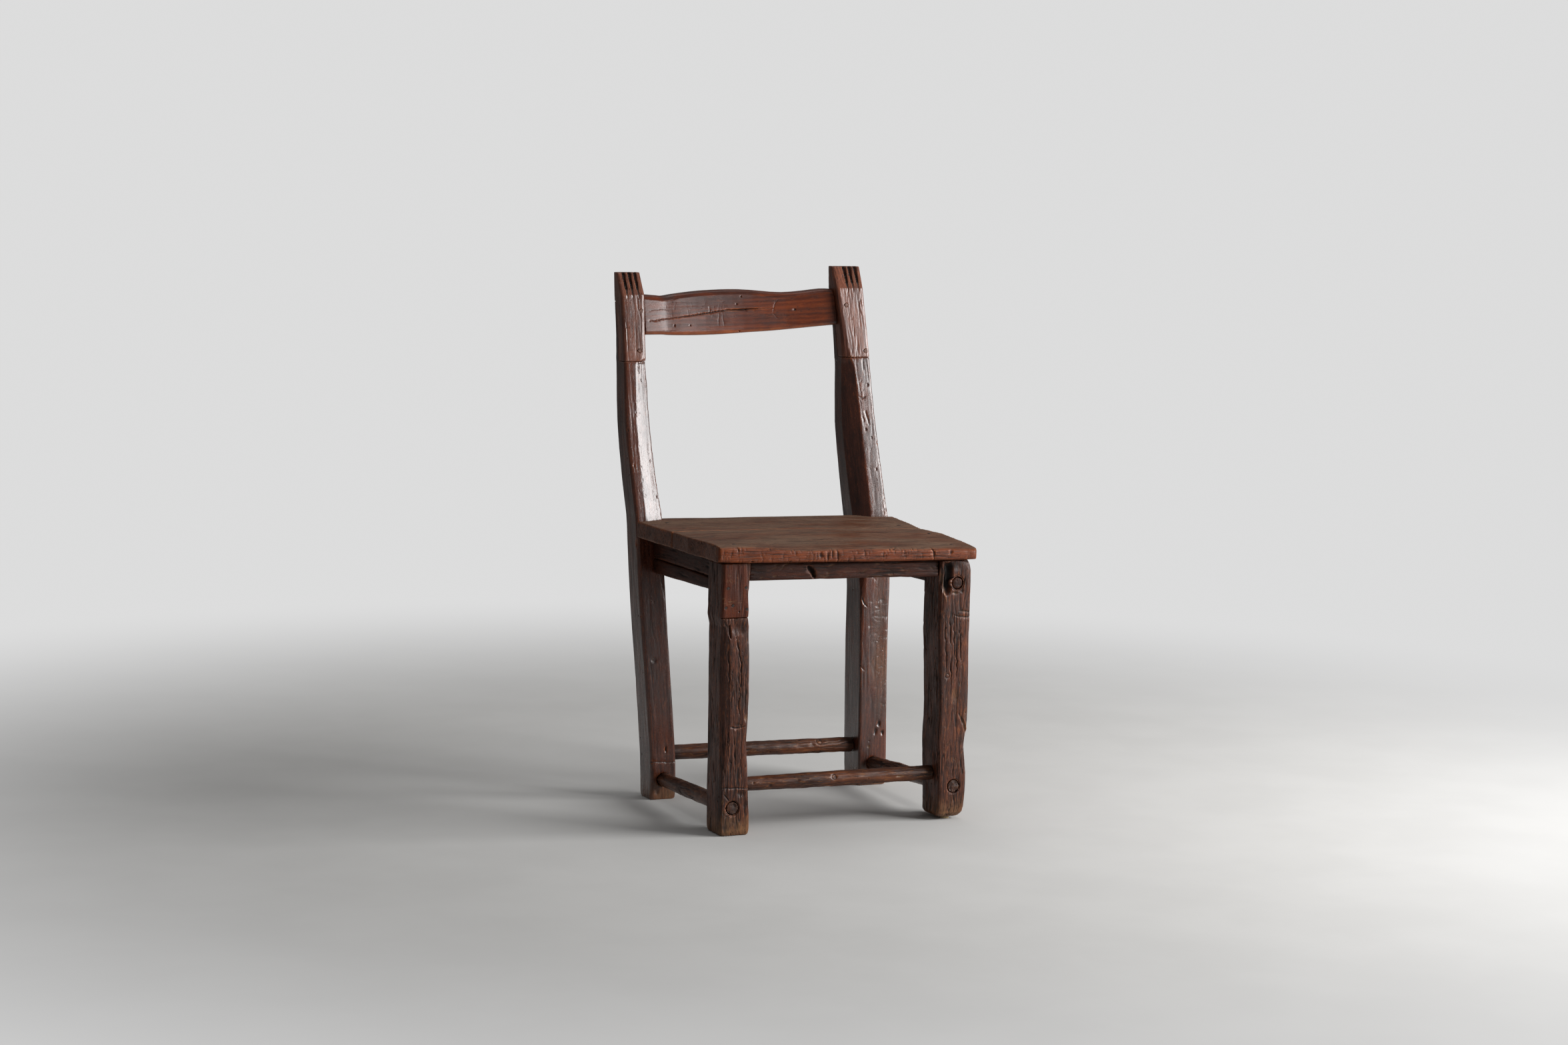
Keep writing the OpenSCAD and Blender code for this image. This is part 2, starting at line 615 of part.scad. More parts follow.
module seat_board_front() {
    x0 = outer_x(LEFT, seat_left_over);
    x1 = outer_x(RIGHT, seat_right_over);
    color("#5a3a29") difference() {
        board([[seat_y0, x0 + 3, x1 - 6, 4, 3], [seat_y0 + 3, x0 + 1, x1 - 2, 1, 0],
               [seat_y0 + 10, x0, x1, 0, 0], [seat_y0 + 52, x0 + 2, x1 - 1, 0, 0],
               [seat_y0 + 109, x0 - 1, x1 - 3, 0, 0], [joint_y - 0.4, x0 + 1, x1 - 4, 0, 0]]);
        seat_nail_set(fit);
    }
}

module seat_board_rear() {
    x0 = outer_x(LEFT, seat_left_over);
    x1 = outer_x(RIGHT, seat_right_over);
    corner_y = post_face_y(seat_h - seat_t);
    back_y = corner_y + rear_board_over;
    color("#553727") difference() {
        board([[joint_y, x0 + 1, x1 - 6, 0, 0], [joint_y + 60, x0 - 1, x1 + 3, 0, 0],
               [joint_y + 110, x0, outer_x(RIGHT, seat_flare - 4), 0, 0],
               [back_y - 3, x0 + 1, outer_x(RIGHT, seat_flare), 0, 0],
               [back_y, x0 + 1, outer_x(RIGHT, seat_flare), 3, 2]]);
        post_skin(LEFT, seat_gap);
        post_skin(RIGHT, seat_gap);
        for (x = [outer_x(LEFT, -7) - corner_cut, outer_x(RIGHT, -10)])
            translate([x, corner_y - seat_gap, seat_h - 3 * seat_t])
                cube([corner_cut, corner_cut, 5 * seat_t]);
        seat_nail_set(fit);
    }
}

module seat_nails() { color("#2b2420") seat_nail_set(); }

module seat_rail_front() {
    x0 = outer_x(LEFT, -leg_w + 12);
    x1 = outer_x(RIGHT, -leg_w + 4);
    y0 = cross_rail_y(true);
    bottom = cross_rail_top - cross_rail_h;
    arris = [soft(2), soft(5), soft(3), soft(3)];
    color("#4b2b1c") union() {
        difference() {
            skin_x([for (r = [[0, 5, 0], [0.27, 4, 0.8], [0.64, 3, 0], [1, 0, 0.4]])
                let (x = x0 + r[0] * (x1 - x0))
                [x, [y0, bottom + r[1]], [y0 + cross_rail_t, seat_under(x) - seat_gap - r[2]],
                 arris]]);
            leg_skin(LEFT, seat_gap);
            leg_skin(RIGHT, seat_gap);
            seat_nail_set(fit);
        }
        cross_tenons(true);
    }
}

module seat_rail_rear() {
    x0 = outer_x(LEFT, -post_w + 26);
    x1 = outer_x(RIGHT, -post_w + 12);
    y0 = cross_rail_y(false);
    bottom = cross_rail_top - cross_rail_h;
    arris = [soft(2), soft(2), soft(2), soft(2)];
    color("#43281b") difference() {
        union() {
            difference() {
                skin_x([for (x = [x0, x1])
                    [x, [y0, bottom], [y0 + cross_rail_t, seat_under(x) - seat_gap], arris]]);
                post_skin(LEFT, seat_gap);
                post_skin(RIGHT, seat_gap);
            }
            cross_tenons(false);
        }
        seat_nail_set(fit);
    }
}

// Square body of a side rail or of the packing strip on it, with its underside cut up at the front
module side_bar(side, z0, z1, arris, rise = 0) {
    x = outer_x(side, side == LEFT ? -9 : -13);
    lo = min(x, x - side * rail_w);
    hi = max(x, x - side * rail_w);
    difference() {
        skin_y([[leg_back_y - 8, [z0 + rise, lo], [z1, hi], arris],
                [(leg_back_y + rear_y) / 2, [z0 + rise / 2, lo], [z1, hi], arris],
                [post_face_y(rail_z) + 5, [z0, lo], [z1, hi], arris]]);
        leg_skin(side, seat_gap);
        post_skin(side, seat_gap);
    }
}

module side_rail(side) {
    color("#3f2619") difference() {
        union() {
            side_bar(side, rail_top_z - rail_h, rail_top_z, [soft(1), soft(1), soft(4), soft(4)], 4);
            rail_tenons(side);
        }
        seat_nail_set(fit);
    }
}
module side_rail_left() { side_rail(LEFT); }
module side_rail_right() { side_rail(RIGHT); }

module packing_strip(side) {
    color("#3a251a") difference() {
        side_bar(side, rail_top_z,
                 seat_under(outer_x(side, -9)) - seat_gap - (side == LEFT ? seat_tilt * rail_w : 0),
                 [soft(1.5), soft(1.5), soft(1.5), soft(1.5)]);
        seat_nail_set(fit);
    }
}
module packing_strip_left() { packing_strip(LEFT); }
module packing_strip_right() { packing_strip(RIGHT); }

module stretcher_front() { color("#6a4025") stretcher("front", 21, 23); }
module stretcher_rear() { color("#5a3622") stretcher("rear", 24, 24); }
module stretcher_left() { color("#54331f") stretcher("left", 28, 21); }
module stretcher_right() { color("#5a3822") stretcher("right", 25, 23); }

module leg_patch() {
    top = patch_z0 + patch_h;
    x0 = outer_x(LEFT, 6);
    x1 = outer_x(LEFT, 9.5 - leg_w);
    back = patch_seat_y;
    arris = [soft(0.6), soft(0.6), soft(3), soft(2)];
    color("#55301f") difference() {
        skin_z([[patch_z0, [x0, front_y + 0.5], [x1, back], arris],
                [patch_z0 + 10, [x0, front_y - 0.3], [x1, back], arris],
                [top, [x0 + 1, front_y], [x1 - 4, back], arris]]);
        patch_nail_set(fit);
    }
}

module patch_nails() { color("#26201d") patch_nail_set(); }

module foot_glide() { color("#8d7a5c") glide(); }

front_leg_left();
front_leg_right();
rear_post_left();
rear_post_right();
post_top_left();
post_top_right();
splice_pegs_left();
splice_pegs_right();
crest_rail();
seat_board_front();
seat_board_rear();
seat_nails();
seat_rail_front();
seat_rail_rear();
side_rail_left();
side_rail_right();
packing_strip_left();
packing_strip_right();
stretcher_front();
stretcher_rear();
stretcher_left();
stretcher_right();
leg_patch();
patch_nails();
foot_glide();
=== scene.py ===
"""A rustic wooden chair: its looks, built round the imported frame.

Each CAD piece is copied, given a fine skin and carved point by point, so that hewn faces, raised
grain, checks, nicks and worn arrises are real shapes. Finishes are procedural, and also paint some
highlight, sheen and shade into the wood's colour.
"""

import logging
import math
from dataclasses import dataclass, field
from enum import Enum

import bpy
import numpy as np
from mathutils import Matrix, Vector


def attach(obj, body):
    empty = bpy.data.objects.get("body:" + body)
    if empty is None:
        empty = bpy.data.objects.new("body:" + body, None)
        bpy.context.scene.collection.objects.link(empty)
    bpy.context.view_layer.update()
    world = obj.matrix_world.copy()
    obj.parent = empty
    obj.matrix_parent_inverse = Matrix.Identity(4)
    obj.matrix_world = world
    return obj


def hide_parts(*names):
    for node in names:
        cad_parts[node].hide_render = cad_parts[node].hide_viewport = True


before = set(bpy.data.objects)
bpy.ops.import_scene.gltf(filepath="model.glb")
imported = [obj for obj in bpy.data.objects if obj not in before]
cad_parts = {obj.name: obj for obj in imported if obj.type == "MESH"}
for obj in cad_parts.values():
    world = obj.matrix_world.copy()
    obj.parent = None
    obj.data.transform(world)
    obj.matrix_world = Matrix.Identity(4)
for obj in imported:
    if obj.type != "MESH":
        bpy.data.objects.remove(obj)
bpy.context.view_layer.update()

LOG = logging.getLogger("chair")
MM = 0.001
WELD = 1e-5             # metres within which a CAD copy's points are joined
WIDE_PASSES = 6         # smoothing that tells arrises from flats before carving
FINE_PASSES = 5         # smoothing that tells ridges from hollows after carving
SLICES = 12             # slices along a piece that its middle line is drawn through
MIDDLE_BENDS = 3        # degree of that line
FIGURE_START = 1000     # where the first piece lies in the wood's figure, in millimetres
FIGURE_STEP = 137       # how far apart two seeds lie in it
CHIP_REACH = 6.0        # how far from a piece's end chips reach
END_DARK_FULL = 14         # how far from an end the dirt and painted joint shade are darkest
END_DARK_REACH = 42        # where they have faded out
FOOT_HEIGHT = 45        # how high floor dirt climbs
HOLE_SEED = 5           # keeps worm holes apart from the other draws
HOLE_RADII = (0.9, 1.7)
HOLE_DARK = 0.9
Point = tuple[float, float]
Colour = tuple[float, float, float, float]


def shade(red: int, green: int, blue: int) -> Colour:
    """Turns a display colour of 0 to 255 into the linear colour that a socket takes.

    Args:
        red: Red, 0 to 255.
        green: Green, 0 to 255.
        blue: Blue, 0 to 255.

    Returns:
        The linear colour with an alpha of 1.
    """
    linear = [(c / 255 / 12.92) if c < 11 else ((c / 255 + 0.055) / 1.055) ** 2.4
              for c in (red, green, blue)]
    return (linear[0], linear[1], linear[2], 1.0)


def soft_step(values: np.ndarray, low: float, high: float) -> np.ndarray:
    """Rises smoothly from 0 at low to 1 at high.

    Args:
        values: Numbers to map.
        low: Where the rise starts.
        high: Where the rise ends.

    Returns:
        The mapped numbers, 0 to 1.
    """
    t = np.clip((values - low) / (high - low), 0.0, 1.0)
    return t * t * (3 - 2 * t)


# ---- Carving ----------------------------------------------------------------------------------


class Noise:
    """Smooth noise in space, the same on every run."""

    def __init__(self, seed: int) -> None:
        """Draws the table of slopes from the seed."""
        rng = np.random.default_rng(seed)
        self.order = np.tile(rng.permutation(256), 3)
        slopes = rng.normal(size=(256, 3))
        self.slopes = slopes / np.linalg.norm(slopes, axis=1)[:, None]

    def at(self, places: np.ndarray) -> np.ndarray:
        """Samples the noise.

        Args:
            places: Rows of three coordinates, one unit to a cell.

        Returns:
            One number a row, about -1 to 1.
        """
        cell = np.floor(places).astype(np.int64)
        part = places - cell
        cell &= 255
        ease = part ** 3 * (part * (part * 6 - 15) + 10)
        total = np.zeros(len(places))
        for corner in np.ndindex(2, 2, 2):
            hop = np.array(corner)
            spot = cell + hop
            pick = self.order[self.order[self.order[spot[:, 0]] + spot[:, 1]] + spot[:, 2]]
            weight = np.where(hop, ease, 1 - ease).prod(axis=1)
            total += weight * ((part - hop) * self.slopes[pick]).sum(axis=1)
        return total * 1.7

    def layers(self, places: np.ndarray, count: int = 3) -> np.ndarray:
        """Adds finer and weaker copies of the noise.

        Args:
            places: Rows of three coordinates.
            count: How many copies.

        Returns:
            One number a row, about -1 to 1.
        """
        return sum(self.at(places * 2 ** k + 17 * k) * 0.5 ** k for k in range(count)) / 1.5


class Side(Enum):
    """A side of a piece: the two axes its marks are drawn on, the axis it faces and which way."""

    FRONT = (0, 2, 1, -1)
    LEFT = (1, 2, 0, -1)
    TOP = (0, 1, 2, 1)


class Grain(Enum):
    """The axis that a piece's grain runs along."""

    ACROSS = 0
    BACK = 1
    UP = 2


@dataclass(frozen=True)
class Mark:
    """Something cut, worn or stained on one side of a piece. Sizes are in millimetres."""

    side: Side
    depth: float = 0.0
    dark: float = 0.0
    bare: float = 0.0

    def strength(self, places: np.ndarray, noise: Noise) -> np.ndarray:
        """Returns how strongly the mark acts at each place, 0 to 1."""
        raise NotImplementedError

    def facing(self, normals: np.ndarray) -> np.ndarray:
        """Returns 1 where a surface faces the mark's side and 0 where it faces away."""
        return soft_step(normals[:, self.side.value[2]] * self.side.value[3], 0.1, 0.45)


@dataclass(frozen=True)
class Line(Mark):
    """A check, scratch or gouge along a line, tapered at both ends."""

    points: tuple[Point, ...] = ()
    width: float = 2.0
    wander: float = 0.8
    blunt: bool = False

    def strength(self, places: np.ndarray, noise: Noise) -> np.ndarray:
        """Returns how strongly the line acts at each place, 0 to 1."""
        a, b = self.side.value[:2]
        spot = places[:, [a, b]] + self.wander * np.stack(
            [noise.at(places / 9), noise.at(places / 9 + 50)], axis=1)
        line = np.array(self.points, dtype=float)
        runs = np.linalg.norm(np.diff(line, axis=0), axis=1)
        start = np.concatenate([[0], np.cumsum(runs)])
        nearest = np.full(len(places), 1e9)
        along = np.zeros(len(places))
        for k, run in enumerate(runs):
            way = (line[k + 1] - line[k]) / run
            t = np.clip((spot - line[k]) @ way, 0, run)
            gap = np.linalg.norm(spot - line[k] - t[:, None] * way, axis=1)
            closer = gap < nearest
            nearest = np.where(closer, gap, nearest)
            along = np.where(closer, (start[k] + t) / start[-1], along)
        taper = 1.0 if self.blunt else 0.35 + 0.65 * np.sin(np.pi * along) ** 0.6
        return np.clip(1 - nearest / (self.width / 2 * taper), 0, 1) ** 0.7 * taper


@dataclass(frozen=True)
class Hollow(Mark):
    """A round or oval dent, chip, hole or worn hollow."""

    centre: Point = (0.0, 0.0)
    radii: Point = (3.0, 3.0)
    rough: float = 0.25
    flat: float = 1.0

    def strength(self, places: np.ndarray, noise: Noise) -> np.ndarray:
        """Returns how strongly the hollow acts at each place, 0 to 1."""
        a, b = self.side.value[:2]
        gap = np.hypot((places[:, a] - self.centre[0]) / self.radii[0],
                       (places[:, b] - self.centre[1]) / self.radii[1])
        gap = gap + self.rough * noise.layers(places / (0.7 * max(self.radii)), 2)
        return soft_step(1 - gap, 0, self.flat)


@dataclass(frozen=True)
class Ring(Mark):
    """The open joint round a tenon or a peg."""

    centre: Point = (0.0, 0.0)
    radius: float = 9.5
    width: float = 2.4

    def strength(self, places: np.ndarray, noise: Noise) -> np.ndarray:
        """Returns how strongly the ring acts at each place, 0 to 1."""
        a, b = self.side.value[:2]
        gap = np.hypot(places[:, a] - self.centre[0], places[:, b] - self.centre[1])
        gap = np.abs(gap - self.radius - 0.5 * noise.at(places / 5))
        return np.clip(1 - gap / (self.width / 2), 0, 1) ** 0.6


@dataclass(frozen=True)
class Scuffs(Mark):
    """Many short scratches, cuts or dents that lie much the same way, over a patch of a side."""

    low: Point = (0.0, 0.0)
    high: Point = (1.0, 1.0)
    count: int = 20
    length: float = 8.0
    width: float = 1.4
    angle: float = 90.0
    spread: float = 12.0
    seed: int = 1

    def strength(self, places: np.ndarray, noise: Noise) -> np.ndarray:
        """Returns how strongly the scuffs act at each place, 0 to 1."""
        rng = np.random.default_rng(self.seed)
        spot = places[:, list(self.side.value[:2])]
        total = np.zeros(len(places))
        for _ in range(self.count):
            middle = rng.uniform(self.low, self.high)
            turn = math.radians(rng.normal(self.angle, self.spread))
            half = 0.5 * self.length * rng.uniform(0.4, 1.3)
            weight = rng.uniform(0.4, 1.0)
            way = np.array([math.cos(turn), math.sin(turn)])
            along = (spot - middle) @ way
            across = np.abs((spot - middle) @ np.array([-way[1], way[0]]))
            reach = np.clip(1 - (along / half) ** 2, 0, 1)
            acts = reach * np.clip(1 - across / (0.5 * self.width), 0, 1) ** 0.7
            total = np.maximum(total, weight * acts)
        return total


@dataclass(frozen=True)
class Wear:
    """How one piece is worked and worn all over. Depths and widths are in millimetres."""

    hew: float = 0.5
    hew_length: float = 80.0
    hew_width: float = 20.0
    raised_grain: float = 0.4
    grain_width: float = 3.4
    grain_length: float = 60.0
    checks: float = 0.0
    check_width: float = 5.0
    arris: float = 0.7
    nicks: float = 0.8
    nick_length: float = 9.0
    pits: int = 0
    pit_depth: float = 1.2
    end_chips: float = 0.8
    # Darkness near the ends: dirt, and painted shade where the piece meets others.
    end_grime_and_shade: float = 0.0
    foot: float = 0.0


@dataclass
class CarvedPiece:
    """A wooden piece that stands for one CAD node, with a fine carved skin."""

    node: str
    slot: str
    material: bpy.types.Material
    grain: Grain
    cell: float
    wear: Wear
    seed: int
    marks: tuple[Mark, ...] = ()
    kept: float = 1.0

    def build(self) -> bpy.types.Object:
        """Copies, skins and carves the piece, and puts it in the place of its CAD node.

        Returns:
            The finished piece.
        """
        piece = self.skinned_copy()
        self.carve(piece.data)
        self.thin(piece)
        piece.data.materials.clear()
        piece.data.materials.append(self.material)
        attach(piece, "root")
        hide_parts(self.node)
        LOG.info("%s: %d triangles", piece.name,
                 sum(len(face.vertices) - 2 for face in piece.data.polygons))
        return piece

    def thin(self, piece: bpy.types.Object) -> None:
        """Joins the skin's cells where it is flat, and keeps them small where it is carved."""
        if self.kept < 1:
            fewer = piece.modifiers.new("thin", "DECIMATE")
            fewer.ratio = self.kept
            bpy.ops.object.modifier_apply(modifier=fewer.name)

    def skinned_copy(self) -> bpy.types.Object:
        """Returns a copy of the CAD node under an even skin of small cells."""
        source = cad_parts[self.node]
        piece = bpy.data.objects.new(self.node + "_wood", source.data.copy())
        bpy.context.scene.collection.objects.link(piece)
        bpy.ops.object.select_all(action="DESELECT")
        piece.select_set(True)
        bpy.context.view_layer.objects.active = piece
        bpy.ops.object.mode_set(mode="EDIT")
        bpy.ops.mesh.select_all(action="SELECT")
        bpy.ops.mesh.remove_doubles(threshold=WELD)
        bpy.ops.object.mode_set(mode="OBJECT")
        skin = piece.modifiers.new("skin", "REMESH")
        skin.mode = "VOXEL"
        skin.voxel_size = self.cell * MM
        skin.adaptivity = 0.0
        bpy.ops.object.modifier_apply(modifier=skin.name)
        bpy.ops.object.shade_smooth()
        return piece

    def carve(self, mesh: bpy.types.Mesh) -> None:
        """Moves the skin's points inward by the piece's wear and marks, and stores its masks."""
        noise = Noise(self.seed)
        places = read_points(mesh, "vertices", "co") / MM
        ties = read_ties(mesh)
        normals = read_normals(mesh)
        grain = self.grain_places(places)
        bulge = bulge_of(places, normals, ties, WIDE_PASSES)
        edge = soft_step(bulge, 0.12 * self.cell, 0.75 * self.cell)
        cut, groove = self.worn_depth(noise, grain, edge)
        dark = np.zeros(len(places))
        bare = np.zeros(len(places))
        for mark in self.marks:
            acts = mark.strength(places, noise) * mark.facing(normals)
            cut += mark.depth * acts
            dark = np.maximum(dark, mark.dark * acts)
            bare = np.maximum(bare, mark.bare * acts)
        cut += self.pit_depths(places, dark)
        # Darkens the ends: dirt, and painted shade at the joints.
        ends = np.minimum(grain[:, 0] - grain[:, 0].min(), grain[:, 0].max() - grain[:, 0])
        uneven = 0.75 + 0.5 * noise.layers(grain / 14, 2)
        stained = self.wear.end_grime_and_shade * soft_step(-ends, -END_DARK_REACH, -END_DARK_FULL) * uneven
        dark = np.maximum(dark, stained)
        dusty = (soft_step(-places[:, 2], -FOOT_HEIGHT, 0)
                 * (0.6 + 0.4 * noise.layers(places / 9, 2)))
        bare = np.maximum(bare, self.wear.foot * dusty)
        moved = places - normals * cut[:, None]
        write_points(mesh, moved * MM)
        mesh.update()
        fresh = read_normals(mesh)
        bulge = bulge_of(moved, fresh, ties, FINE_PASSES)
        store(mesh, "grain", (grain + FIGURE_START + FIGURE_STEP * self.seed) * MM)
        # Convex places: the arrises' wear, and also where the finish paints a highlight on raised
        # ridges.
        store(mesh, "worn", soft_step(bulge, 0.05, 0.6))
        store(mesh, "hollow", np.clip(soft_step(-bulge, 0.04, 0.4) + groove, 0, 1))
        store(mesh, "dark", dark)
        store(mesh, "bare", bare)

    def grain_places(self, places: np.ndarray) -> np.ndarray:
        """Returns places as length along the grain and two widths from the piece's own middle."""
        a = self.grain.value
        b, c = [k for k in range(3) if k != a]
        along = places[:, a]
        stops = np.linspace(along.min(), along.max(), SLICES + 1)
        bins = np.digitize(along, stops[1:-1])
        middles = []
        for axis in (b, c):
            centre = [(places[bins == k, axis].min() + places[bins == k, axis].max()) / 2
                      for k in range(SLICES)]
            line = np.polyfit((stops[1:] + stops[:-1]) / 2, centre, MIDDLE_BENDS)
            middles.append(np.polyval(line, along))
        return np.stack([along, places[:, b] - middles[0], places[:, c] - middles[1]], axis=1)

    def worn_depth(self, noise: Noise, grain: np.ndarray,
                   edge: np.ndarray) -> tuple[np.ndarray, np.ndarray]:
        """Works out the wear that goes all over.

        Args:
            noise: The piece's own noise.
            grain: Places along and across the grain.
            edge: 1 on an arris and 0 on a flat.

        Returns:
            The depth at each point in millimetres, and how deep it lies in the open grain, 0 to 1.
        """
        w = self.wear
        hewn = noise.layers(grain / [w.hew_length, w.hew_width, w.hew_width], 2)
        depth = w.hew * (0.45 + 0.55 * hewn)
        lines = noise.at(grain / [w.grain_length, w.grain_width, w.grain_width])
        finer = noise.at(grain / [w.grain_length / 2, w.grain_width / 2, w.grain_width / 2] + 40)
        patchy = soft_step(noise.at(grain / [110, 26, 26] + 90), -0.5, 0.5)
        groove = soft_step(lines + 0.35 * finer, 0.05, 0.75) * (0.35 + 0.65 * patchy)
        depth = depth + w.raised_grain * groove
        split = np.abs(noise.at(grain / [w.grain_length, w.check_width, w.check_width] + 11))
        split = np.clip(1.2 - split / 0.17, 0, 1) * soft_step(
            noise.at(grain / [60, 17, 17] + 60), -0.15, 0.35)
        depth = depth + w.checks * split
        uneven = noise.layers(grain / [26, 14, 14] + 70, 2)
        depth = depth + edge * w.arris * (0.55 + 0.45 * uneven)
        nick = soft_step(noise.at(grain / [w.nick_length, 9, 9] + 20), 0.28, 0.7)
        depth = depth + edge * w.nicks * nick
        ends = np.minimum(grain[:, 0] - grain[:, 0].min(), grain[:, 0].max() - grain[:, 0])
        near_end = soft_step(-ends, -CHIP_REACH, 0.0) * edge
        chips = soft_step(noise.at(grain / [12, 6, 6] + 33), -0.1, 0.6)
        depth = depth + near_end * w.end_chips * chips
        return depth, (0.5 * groove * min(1.0, w.raised_grain) + split * min(1.0, w.checks))

    def pit_depths(self, places: np.ndarray, dark: np.ndarray) -> np.ndarray:
        """Scatters small worm holes.

        Args:
            places: The skin's points.
            dark: Darkness, deepened here at each hole.

        Returns:
            The holes' depth at each point.
        """
        rng = np.random.default_rng(self.seed + HOLE_SEED)
        depth = np.zeros(len(places))
        for k in rng.integers(0, len(places), self.wear.pits):
            radius = rng.uniform(*HOLE_RADII)
            gap = np.linalg.norm(places - places[k], axis=1)
            acts = soft_step(1 - gap / radius, 0.0, 0.6)
            depth = np.maximum(depth, self.wear.pit_depth * acts)
            np.maximum(dark, HOLE_DARK * acts, out=dark)
        return depth


def carve_alike(rows: tuple[tuple[str, int, tuple[Mark, ...]], ...], slot: str,
                material: bpy.types.Material, grain: Grain, cell: float, wear: Wear,
                kept: float) -> None:
    """Builds pieces of one wood that are worn alike.

    Args:
        rows: For each piece, its CAD node, its seed and its marks.
        slot: A slot name stored on each piece; it is not used.
        material: Their finish.
        grain: The axis their grain runs along.
        cell: The width of their skin's cells in millimetres.
        wear: How they are worked and worn.
        kept: The share of the skin's triangles that is kept.
    """
    for node, seed, marks in rows:
        CarvedPiece(node, slot, material, grain, cell, wear, seed, marks, kept).build()


def read_points(mesh: bpy.types.Mesh, group: str, name: str) -> np.ndarray:
    """Returns a group's named vectors as an array of rows."""
    rows = getattr(mesh, group)
    flat = np.empty(len(rows) * 3)
    rows.foreach_get(name, flat)
    return flat.reshape(-1, 3)


def write_points(mesh: bpy.types.Mesh, places: np.ndarray) -> None:
    """Moves the mesh's points to the given places."""
    mesh.vertices.foreach_set("co", places.ravel())


def read_normals(mesh: bpy.types.Mesh) -> np.ndarray:
    """Returns the normal at each of the mesh's points."""
    return read_points(mesh, "vertex_normals", "vector")


def read_ties(mesh: bpy.types.Mesh) -> np.ndarray:
    """Returns the two points of each of the mesh's edges."""
    flat = np.empty(len(mesh.edges) * 2, dtype=np.int64)
    mesh.edges.foreach_get("vertices", flat)
    return flat.reshape(-1, 2)


def bulge_of(places: np.ndarray, normals: np.ndarray, ties: np.ndarray,
             passes: int) -> np.ndarray:
    """Measures how far each point stands out of its smoothed surroundings.

    Args:
        places: The mesh's points.
        normals: Their normals.
        ties: The two points of each edge.
        passes: How often to smooth, which sets how wide the surroundings are.

    Returns:
        The distance out of the surface, negative in a hollow.
    """
    count = len(places)
    both = np.concatenate([ties[:, 0], ties[:, 1]])
    other = np.concatenate([ties[:, 1], ties[:, 0]])
    share = np.bincount(both, minlength=count)
    smooth = places
    for _ in range(passes):
        total = np.stack([np.bincount(both, smooth[other, k], count) for k in range(3)], axis=1)
        smooth = 0.5 * smooth + 0.5 * total / share[:, None]
    return ((places - smooth) * normals).sum(axis=1)


def store(mesh: bpy.types.Mesh, name: str, values: np.ndarray) -> None:
    """Keeps a number or a vector for each point under a name that materials read."""
    kind, key = ("FLOAT", "value") if values.ndim == 1 else ("FLOAT_VECTOR", "vector")
    attribute = mesh.attributes.new(name, kind, "POINT")
    attribute.data.foreach_set(key, values.astype(np.float32).ravel())


# ---- Finishes ---------------------------------------------------------------------------------


class Graph:
    """A shader node tree that is being filled."""

    def __init__(self, tree: bpy.types.NodeTree) -> None:
        """Starts on an empty tree."""
        self.tree = tree
        tree.nodes.clear()

    def add(self, kind: str, inputs: dict | None = None, **settings) -> bpy.types.Node:
        """Adds a node.

        Args:
            kind: The node's type.
            inputs: For each input, a value to set or an output to link.
            **settings: Values of the node's own properties.

        Returns:
            The new node.
        """
        node = self.tree.nodes.new(kind)
        for key, value in settings.items():
            setattr(node, key, value)
        for key, value in (inputs or {}).items():
            if isinstance(value, bpy.types.NodeSocket):
                self.tree.links.new(value, node.inputs[key])
            else:
                node.inputs[key].default_value = value
        return node

    def math(self, operation: str, *values) -> bpy.types.NodeSocket:
        """Returns the result of a sum on one to three values or outputs."""
        return self.add("ShaderNodeMath", dict(enumerate(values)), operation=operation).outputs[0]

    def fit(self, value, low: float, high: float, to_low: float = 0.0,
            to_high: float = 1.0) -> bpy.types.NodeSocket:
        """Returns a value moved smoothly from one range to another."""
        return self.add("ShaderNodeMapRange", {0: value, 1: low, 2: high, 3: to_low, 4: to_high},
                        interpolation_type="SMOOTHSTEP").outputs[0]

    def mix(self, share, first, second) -> bpy.types.NodeSocket:
        """Returns a mix of two colours."""
        return self.add("ShaderNodeMix", {0: share, 6: first, 7: second},
                        data_type="RGBA").outputs[2]

    def noise(self, places, scale: tuple[float, float, float], detail: float = 3.0,
              rough: float = 0.55, shift: float = 0.0) -> bpy.types.NodeSocket:
        """Returns noise on places stretched by a scale for each axis."""
        moved = self.add("ShaderNodeMapping", {"Vector": places, "Scale": scale,
                                               "Location": (shift, shift, shift)})
        return self.add("ShaderNodeTexNoise",
                        {"Vector": moved.outputs[0], "Scale": 1.0, "Detail": detail,
                         "Roughness": rough}).outputs[0]

    def named(self, name: str, output: str = "Fac") -> bpy.types.NodeSocket:
        """Returns an attribute that the mesh carries."""
        return self.add("ShaderNodeAttribute", attribute_name=name).outputs[output]


def new_group(name: str, inputs: dict[str, tuple[str, float]],
              outputs: dict[str, str]) -> tuple[bpy.types.NodeTree, Graph, bpy.types.Node]:
    """Makes an empty shader node group.

    Args:
        name: The group's name.
        inputs: For each input, its kind and its usual value.
        outputs: For each output, its kind.

    Returns:
        The group, the graph that fills it and its input node.
    """
    group = bpy.data.node_groups.new(name, "ShaderNodeTree")
    kinds = {"value": "NodeSocketFloat", "colour": "NodeSocketColor", "vector": "NodeSocketVector"}
    for key, (kind, usual) in inputs.items():
        socket = group.interface.new_socket(key, in_out="INPUT", socket_type=kinds[kind])
        if kind == "value":
            socket.default_value = usual
    for key, kind in outputs.items():
        group.interface.new_socket(key, in_out="OUTPUT", socket_type=kinds[kind])
    graph = Graph(group)
    return group, graph, graph.add("NodeGroupInput")


